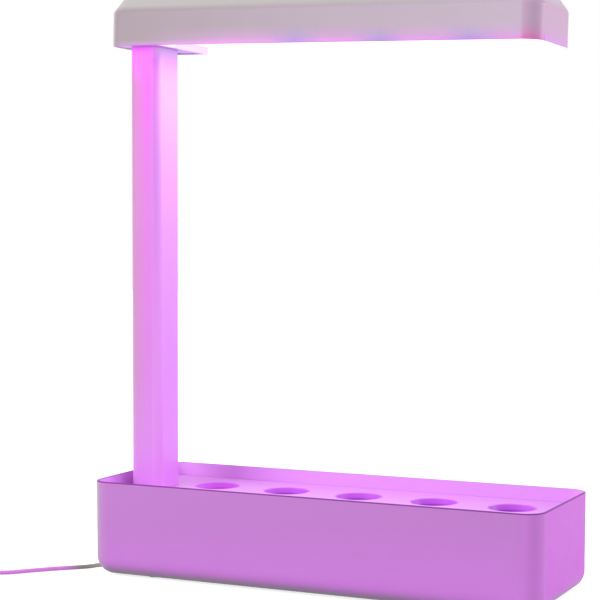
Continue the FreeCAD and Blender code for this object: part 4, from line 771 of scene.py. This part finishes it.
class PLANTER_OT_supply_lead(bpy.types.Operator):
    """Lay the lead from the strain relief over the table, through its coil and into the adapter"""

    bl_idname = "planter.supply_lead"
    bl_label = "Supply lead"
    bl_options = {"REGISTER", "UNDO"}

    def execute(self, context):
        size = sizes()
        deselect()
        foot, along = stub(COIL_IN, 1, COIL_ROWS[0])
        route = [Vector(point) for point in LEAD_ROUTE]
        route += [foot + along * distance for distance in STUB_IN]
        route += coil_points(size.coil_turns, size.turn_points)[1:-1]
        foot, along = stub(COIL_OUT, -1, COIL_ROWS[-1])
        low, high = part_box("plug_adapter")
        entry = Vector((high.x - 0.0005, (low.y + high.y) / 2, (low.z + high.z) / 2))
        route += [foot + along * distance for distance in STUB_OUT]
        route += [entry + Vector((0.011, 0, 0)), entry]
        data = bpy.data.curves.new("supply_lead", "CURVE")
        data.dimensions = "3D"
        line = data.splines.new("NURBS")
        line.points.add(len(route) - 1)
        for point, place in zip(line.points, route):
            point.co = (*place, 1)
        line.order_u = 3
        line.use_endpoint_u = True
        line.resolution_u = 6
        data.bevel_depth = size.cord_width / 2
        data.bevel_resolution = 5
        data.use_fill_caps = True
        data.materials.append(finish_cord(looks()))
        piece = bpy.data.objects.new("supply_lead", data)
        context.scene.collection.objects.link(piece)
        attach(piece, BODY)
        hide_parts("cord_tube", "cord_coil", "cord_tail")
        return {"FINISHED"}


def in_lamp(place):
    """A point in the lamp's own frame, which droops about the Y axis."""
    return Matrix.Rotation(-LAMP_DROOP, 3, "Y") @ (place - LAMP_ORIGIN)


def cover_height(across):
    """Height of the slanted band and of the round above it, at a distance from the middle."""
    lean = math.atan2(BAND_INSET, BAND_RISE)
    set_back = CROWN_ROUND * math.tan((math.pi / 2 - lean) / 2)
    middle = HALF_DEPTH - BAND_INSET - set_back
    if across < middle:
        return BAND_START + BAND_RISE
    if across < HALF_DEPTH - BAND_INSET + set_back * math.sin(lean):
        rise = math.sqrt(CROWN_ROUND ** 2 - (across - middle) ** 2)
        return BAND_START + BAND_RISE - CROWN_ROUND + rise
    return BAND_START + (HALF_DEPTH - across) * BAND_RISE / BAND_INSET


def breaks_through(centre, normal):
    """True for a face of a screw boss that stands out of the slanted band."""
    place = in_lamp(centre)
    off_screw = math.hypot(place.x - COVER_SCREW[0], abs(place.y) - COVER_SCREW[1])
    return off_screw < COVER_BOSS and place.z > cover_height(abs(place.y)) + 0.00005


class PLANTER_OT_lamp_housing(bpy.types.Operator):
    """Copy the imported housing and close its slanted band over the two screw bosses"""

    bl_idname = "planter.lamp_housing"
    bl_label = "Lamp housing"
    bl_options = {"REGISTER", "UNDO"}

    def execute(self, context):
        packed = NODES["head_shell"]
        piece = packed.copy()
        piece.data = packed.data.copy()
        piece.parent = None
        piece.matrix_world = packed.matrix_world
        context.scene.collection.objects.link(piece)
        take(piece)
        bpy.ops.mesh.customdata_custom_splitnormals_clear()
        tidy_normals(piece)
        bpy.ops.object.mode_set(mode="EDIT")
        bpy.ops.mesh.select_mode(type="FACE")
        choose_faces(piece, breaks_through)
        bpy.ops.mesh.delete(type="FACE")
        bpy.ops.mesh.select_all(action="SELECT")
        bpy.ops.mesh.fill_holes(sides=0)
        bpy.ops.object.mode_set(mode="OBJECT")
        tidy_normals(piece)
        settle(piece, "lamp_housing", finish_head(looks()), ["head_shell"])
        apply_modifier(piece, "WEIGHTED_NORMAL", keep_sharp=True)
        return {"FINISHED"}


# Profile of the strain relief in the groove: distance from its inner end, and radius
RELIEF_NECK = [(0.0, 0.0043), (0.002, 0.0043), (0.002, 0.0036), (0.0105, 0.0036)]
RELIEF_TAIL = (0.0200, 0.0027)
RIB_SHARE, RIB_DEPTH = 0.58, 0.0005
CASE_SLEEVE = [(0.0, 0.0050), (0.003, 0.0050)]
PIN_SLEEVE = [(0.0, 0.0021), (0.0098, 0.0021), (0.0100, 0.00204)]

# Supply: the foot's bevel, the seam's height, half width and depth, and the panel's border and step
CASE_FOOT_BEVEL = 0.0008
SEAM_HEIGHT, SEAM_HALF, SEAM_DEPTH = 0.0165, 0.0003, 0.0005
PANEL_BORDER, PANEL_WALL, PANEL_DEPTH = 0.0045, 0.0004, 0.0005


def turned_sleeve(start, sign, profile):
    """A round sleeve along X, extruded ring by ring through a profile, closed at both ends."""
    deselect()
    bpy.ops.mesh.primitive_circle_add(
        vertices=32,
        radius=profile[0][1],
        fill_type="NGON",
        location=start,
        rotation=(0, math.radians(90), 0),
    )
    piece = bpy.context.object
    bpy.ops.object.transform_apply(location=False, rotation=True, scale=True)
    bpy.ops.object.mode_set(mode="EDIT")
    bpy.ops.mesh.select_all(action="SELECT")
    for (before, wide), (after, narrow) in zip(profile, profile[1:]):
        step = (sign * (after - before), 0, 0)
        bpy.ops.mesh.extrude_region_move(TRANSFORM_OT_translate={"value": step})
        centre = Vector(start) + Vector((sign * after, 0, 0))
        share = narrow / wide
        bpy.ops.transform.resize(value=(1, share, share), center_override=centre)
    bpy.ops.object.mode_set(mode="OBJECT")
    tidy_normals(piece)
    limit = {"limit_method": "ANGLE", "angle_limit": math.radians(35)}
    apply_modifier(piece, "BEVEL", width=0.00018, segments=2, **limit)
    return piece


def ribbed(distances, radii, rings):
    """Profile of flex ribs between two distances, from one radius down to another."""
    (first, last), (thick, thin) = distances, radii
    profile = []
    pitch = (last - first) / rings
    for ring in range(rings):
        at = first + pitch * ring
        top = thick + (thin - thick) * ring / (rings - 1)
        down, after = at + pitch * RIB_SHARE, at + pitch
        profile += [(at, top), (down, top), (down, top - RIB_DEPTH), (after, top - RIB_DEPTH)]
    return profile


class PLANTER_OT_cord_relief(bpy.types.Operator):
    """Model the ribbed strain relief where the lead leaves the tub"""

    bl_idname = "planter.cord_relief"
    bl_label = "Strain relief"
    bl_options = {"REGISTER", "UNDO"}

    def execute(self, context):
        low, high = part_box("cord_strain_relief")
        start = Vector((high.x, (low.y + high.y) / 2, (low.z + high.z) / 2))
        ribs = ribbed(*zip(RELIEF_NECK[-1], RELIEF_TAIL), sizes().relief_rings)
        piece = turned_sleeve(start, -1, RELIEF_NECK + ribs)
        finish = finish_rubber("relief_sheath", rgb(150, 132, 142), 0.6)
        settle(piece, "strain_relief", finish, ["cord_strain_relief"])
        return {"FINISHED"}


class PLANTER_OT_power_adapter(bpy.types.Operator):
    """Model the plug-in supply: case with seam and blank panel, cord sleeve and pin sleeves"""

    bl_idname = "planter.power_adapter"
    bl_label = "Plug-in supply"
    bl_options = {"REGISTER", "UNDO"}

    def execute(self, context):
        low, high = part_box("plug_adapter")
        size = sizes()
        near = 0.0002
        finish = finish_rubber("adapter_plastic", rgb(206, 198, 204), 0.42)
        piece = block(low, high)
        choose_edges(piece, lambda a, b: abs(a.x - b.x) < near and abs(a.y - b.y) < near)
        bpy.ops.mesh.bevel(offset=size.adapter_round, segments=7, affect="EDGES")
        choose_edges(piece, lambda a, b: a.z > high.z - near and b.z > high.z - near)
        bpy.ops.mesh.bevel(offset=size.adapter_round, segments=7, affect="EDGES")
        choose_edges(piece, lambda a, b: a.z < low.z + near and b.z < low.z + near)
        bpy.ops.mesh.bevel(offset=CASE_FOOT_BEVEL, segments=3, affect="EDGES")
        bpy.ops.mesh.select_mode(type="FACE")
        # Seam between the two half shells
        seam = low.z + SEAM_HEIGHT
        for height in (seam - SEAM_HALF, seam + SEAM_HALF):
            bpy.ops.mesh.select_all(action="SELECT")
            bpy.ops.mesh.bisect(plane_co=(0, 0, height), plane_no=(0, 0, 1))
        choose_faces(piece, lambda centre, normal: abs(centre.z - seam) < near)
        bpy.ops.mesh.extrude_region_shrink_fatten(TRANSFORM_OT_shrink_fatten={"value": -SEAM_DEPTH})
        # Blank panel sunk in the top
        choose_faces(piece, lambda centre, normal: centre.z > high.z - near and normal.z > 0.9)
        bpy.ops.mesh.inset(thickness=PANEL_BORDER)
        bpy.ops.mesh.inset(thickness=PANEL_WALL, depth=-PANEL_DEPTH)
        bpy.ops.object.mode_set(mode="OBJECT")
        tidy_normals(piece)
        settle(piece, "supply_case", finish, ["plug_adapter"])

        middle = Vector((high.x - 0.001, (low.y + high.y) / 2, (low.z + high.z) / 2))
        ribs = ribbed((0.003, 0.013), (0.0044, 0.0032), 4)
        sleeve = turned_sleeve(middle, 1, CASE_SLEEVE + ribs)
        settle(sleeve, "supply_sleeve", finish)

        low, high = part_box("plug_pins")
        for number, row in enumerate((low.y + 0.002, high.y - 0.002), 1):
            start = Vector((high.x + 0.0005, row, (low.z + high.z) / 2))
            sleeve = turned_sleeve(start, -1, PIN_SLEEVE)
            dark = finish_rubber("pin_sleeve_plastic", rgb(70, 64, 70), 0.5)
            settle(sleeve, "pin_sleeve_%d" % number, dark)
        return {"FINISHED"}


class PLANTER_OT_finish_nodes(bpy.types.Operator):
    """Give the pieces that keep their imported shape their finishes"""

    bl_idname = "planter.finish_nodes"
    bl_label = "Finishes"
    bl_options = {"REGISTER", "UNDO"}

    def execute(self, context):
        look = looks()
        cup = finish_cup(look)
        steel = finish_metal("screw_steel", (0.62, 0.62, 0.64), 0.32)
        aluminium = finish_metal("bare_aluminium", (0.78, 0.78, 0.80), 0.34, (0.05, 1.0, 1.0))
        inner = finish_rubber("inner_plastic", rgb(214, 208, 212), 0.5)
        sheath = finish_cord(look)
        worn = {
            "planter_tub": finish_tub(look),
            "planting_tray": finish_tray(look),
            "mast_tube": finish_mast(look),
            "mast_foot_plug": inner,
            "light_driver": inner,
            "lamp_bezel": finish_bezel(look),
            "diffuser": finish_window(look),
            "light_carrier": aluminium,
            "mast_bracket": aluminium,
            "led_board": finish_board(look),
            "red_leds": finish_chip("red_chip", (1.0, 0.25, 0.35), 2.0),
            "blue_leds": finish_chip("blue_chip", (0.30, 0.35, 1.0), 2.0),
            "rubber_feet": finish_rubber("foot_rubber", rgb(92, 84, 92)),
            "cord_tie": finish_rubber("tie_rubber", rgb(84, 78, 84)),
            "plug_pins": finish_metal("pin_metal", (0.80, 0.76, 0.66), 0.24),
            "mast_lead": sheath,
            "board_wires": sheath,
        }
        for name in ("foot_screws", "bracket_screws", "bezel_screws", "board_screws"):
            worn[name] = steel
        for number in range(1, 6):
            worn["planting_cup_%d" % number] = cup
        for name, material in worn.items():
            slots = NODES[name].data.materials
            for index in range(len(slots)):
                slots[index] = material
        return {"FINISHED"}


class PLANTER_OT_stage(bpy.types.Operator):
    """Set the camera, the soft light and the white floor"""

    bl_idname = "planter.stage"
    bl_label = "Stage"
    bl_options = {"REGISTER", "UNDO"}

    def execute(self, context):
        scene = context.scene
        setting = scene.planter_stage
        scene.view_settings.view_transform = "Standard"
        deselect()
        turn = tuple(math.radians(angle) for angle in CAMERA_TURN)
        bpy.ops.object.camera_add(location=CAMERA_PLACE, rotation=turn)
        camera = context.object
        camera.data.sensor_width = 36
        camera.data.lens = setting.lens
        camera.data.shift_x, camera.data.shift_y = setting.shift
        camera.data.clip_end = 50
        scene.camera = camera

        def lamp(name, place, aim, width, power):
            bpy.ops.object.light_add(type="AREA", location=place)
            made = context.object
            made.name = name
            made.rotation_euler = (Vector(aim) - Vector(place)).to_track_quat("-Z", "Y").to_euler()
            made.data.shape = "RECTANGLE"
            made.data.size = made.data.size_y = width
            made.data.energy = power
            return made

        lamp("key_softbox", (-1.5, -1.9, 1.1), (0, 0, 0.25), 1.4, setting.key_power)
        lamp("fill_softbox", (2.1, 1.3, 0.9), (0, 0, 0.25), 1.2, setting.fill_power)
        grow = lamp("grow_light", (0.03, 0, 0.498), (0.03, 0, 0), 0.36, setting.grow_power)
        grow.data.size_y = 0.08
        grow.data.color = (1.0, 0.70, 1.0)
        grow.rotation_euler = (0, LAMP_DROOP, 0)

        # Plain grey light for the planter, white for the camera and in what mirrors it
        world = scene.world or bpy.data.worlds.new("studio")
        scene.world = world
        world.use_nodes = True
        nodes, links = world.node_tree.nodes, world.node_tree.links
        nodes.clear()
        path = nodes.new("ShaderNodeLightPath")
        seen, mirrored = nodes.new("ShaderNodeMath"), nodes.new("ShaderNodeMath")
        seen.operation = mirrored.operation = "MAXIMUM"
        links.new(path.outputs["Is Glossy Ray"], mirrored.inputs[0])
        links.new(path.outputs["Is Transmission Ray"], mirrored.inputs[1])
        links.new(path.outputs["Is Camera Ray"], seen.inputs[0])
        links.new(mirrored.outputs[0], seen.inputs[1])
        blend = nodes.new("ShaderNodeMixShader")
        links.new(seen.outputs[0], blend.inputs[0])
        for place, level in enumerate((setting.world_level, 1.0), 1):
            light = nodes.new("ShaderNodeBackground")
            light.inputs["Color"].default_value = (1, 1, 1, 1)
            light.inputs["Strength"].default_value = level
            links.new(light.outputs[0], blend.inputs[place])
        links.new(blend.outputs[0], nodes.new("ShaderNodeOutputWorld").inputs[0])

        deselect()
        bpy.ops.mesh.primitive_plane_add(size=12, location=(0, 0, -0.0002))
        floor = context.object
        floor.name = "studio_floor"
        grey = (0.74, 0.74, 0.74)
        made = Finish("studio_floor", Base_Color=grey, Roughness=0.9, Specular_IOR_Level=0.1)
        x, y = made.axis("X"), made.axis("Y")
        away = ((x ** 2 + y ** 2).math("SQRT") - 0.25) / 0.9
        rays = made.node("ShaderNodeLightPath", output="Is Camera Ray")
        glossy = made.node("ShaderNodeLightPath", output="Is Glossy Ray")
        level = setting.floor_near + away.clamped() * setting.floor_gain
        made.glowing((1.0, 1.0, 1.0), rays.math("MAXIMUM", glossy) * level)
        floor.data.materials.append(made.material)
        return {"FINISHED"}


class PLANTER_PT_panel(bpy.types.Panel):
    """Steps, sizes and colours of the planter"""

    bl_idname = "PLANTER_PT_panel"
    bl_label = "Planter"
    bl_space_type = "VIEW_3D"
    bl_region_type = "UI"
    bl_category = "Planter"

    def draw(self, context):
        column = self.layout.column()
        for step in STEPS:
            column.operator(step.bl_idname)
        for group in (sizes(), looks(), context.scene.planter_stage):
            box = column.box()
            for name in group.__annotations__:
                box.prop(group, name)


STEPS = (
    PLANTER_OT_stage,
    PLANTER_OT_lamp_housing,
    PLANTER_OT_power_adapter,
    PLANTER_OT_cord_relief,
    PLANTER_OT_supply_lead,
    PLANTER_OT_finish_nodes,
)
CLASSES = (PlanterSizes, PlanterLooks, PlanterStage, *STEPS, PLANTER_PT_panel)


def register():
    for each in CLASSES:
        bpy.utils.register_class(each)
    bpy.types.Scene.planter_sizes = PointerProperty(type=PlanterSizes)
    bpy.types.Scene.planter_looks = PointerProperty(type=PlanterLooks)
    bpy.types.Scene.planter_stage = PointerProperty(type=PlanterStage)


def unregister():
    del bpy.types.Scene.planter_stage
    del bpy.types.Scene.planter_looks
    del bpy.types.Scene.planter_sizes
    for each in reversed(CLASSES):
        bpy.utils.unregister_class(each)


def main():
    register()
    bpy.ops.planter.stage()
    bpy.ops.planter.lamp_housing()
    bpy.ops.planter.power_adapter()
    bpy.ops.planter.cord_relief()
    bpy.ops.planter.supply_lead()
    bpy.ops.planter.finish_nodes()


if __name__ == "__main__":
    main()
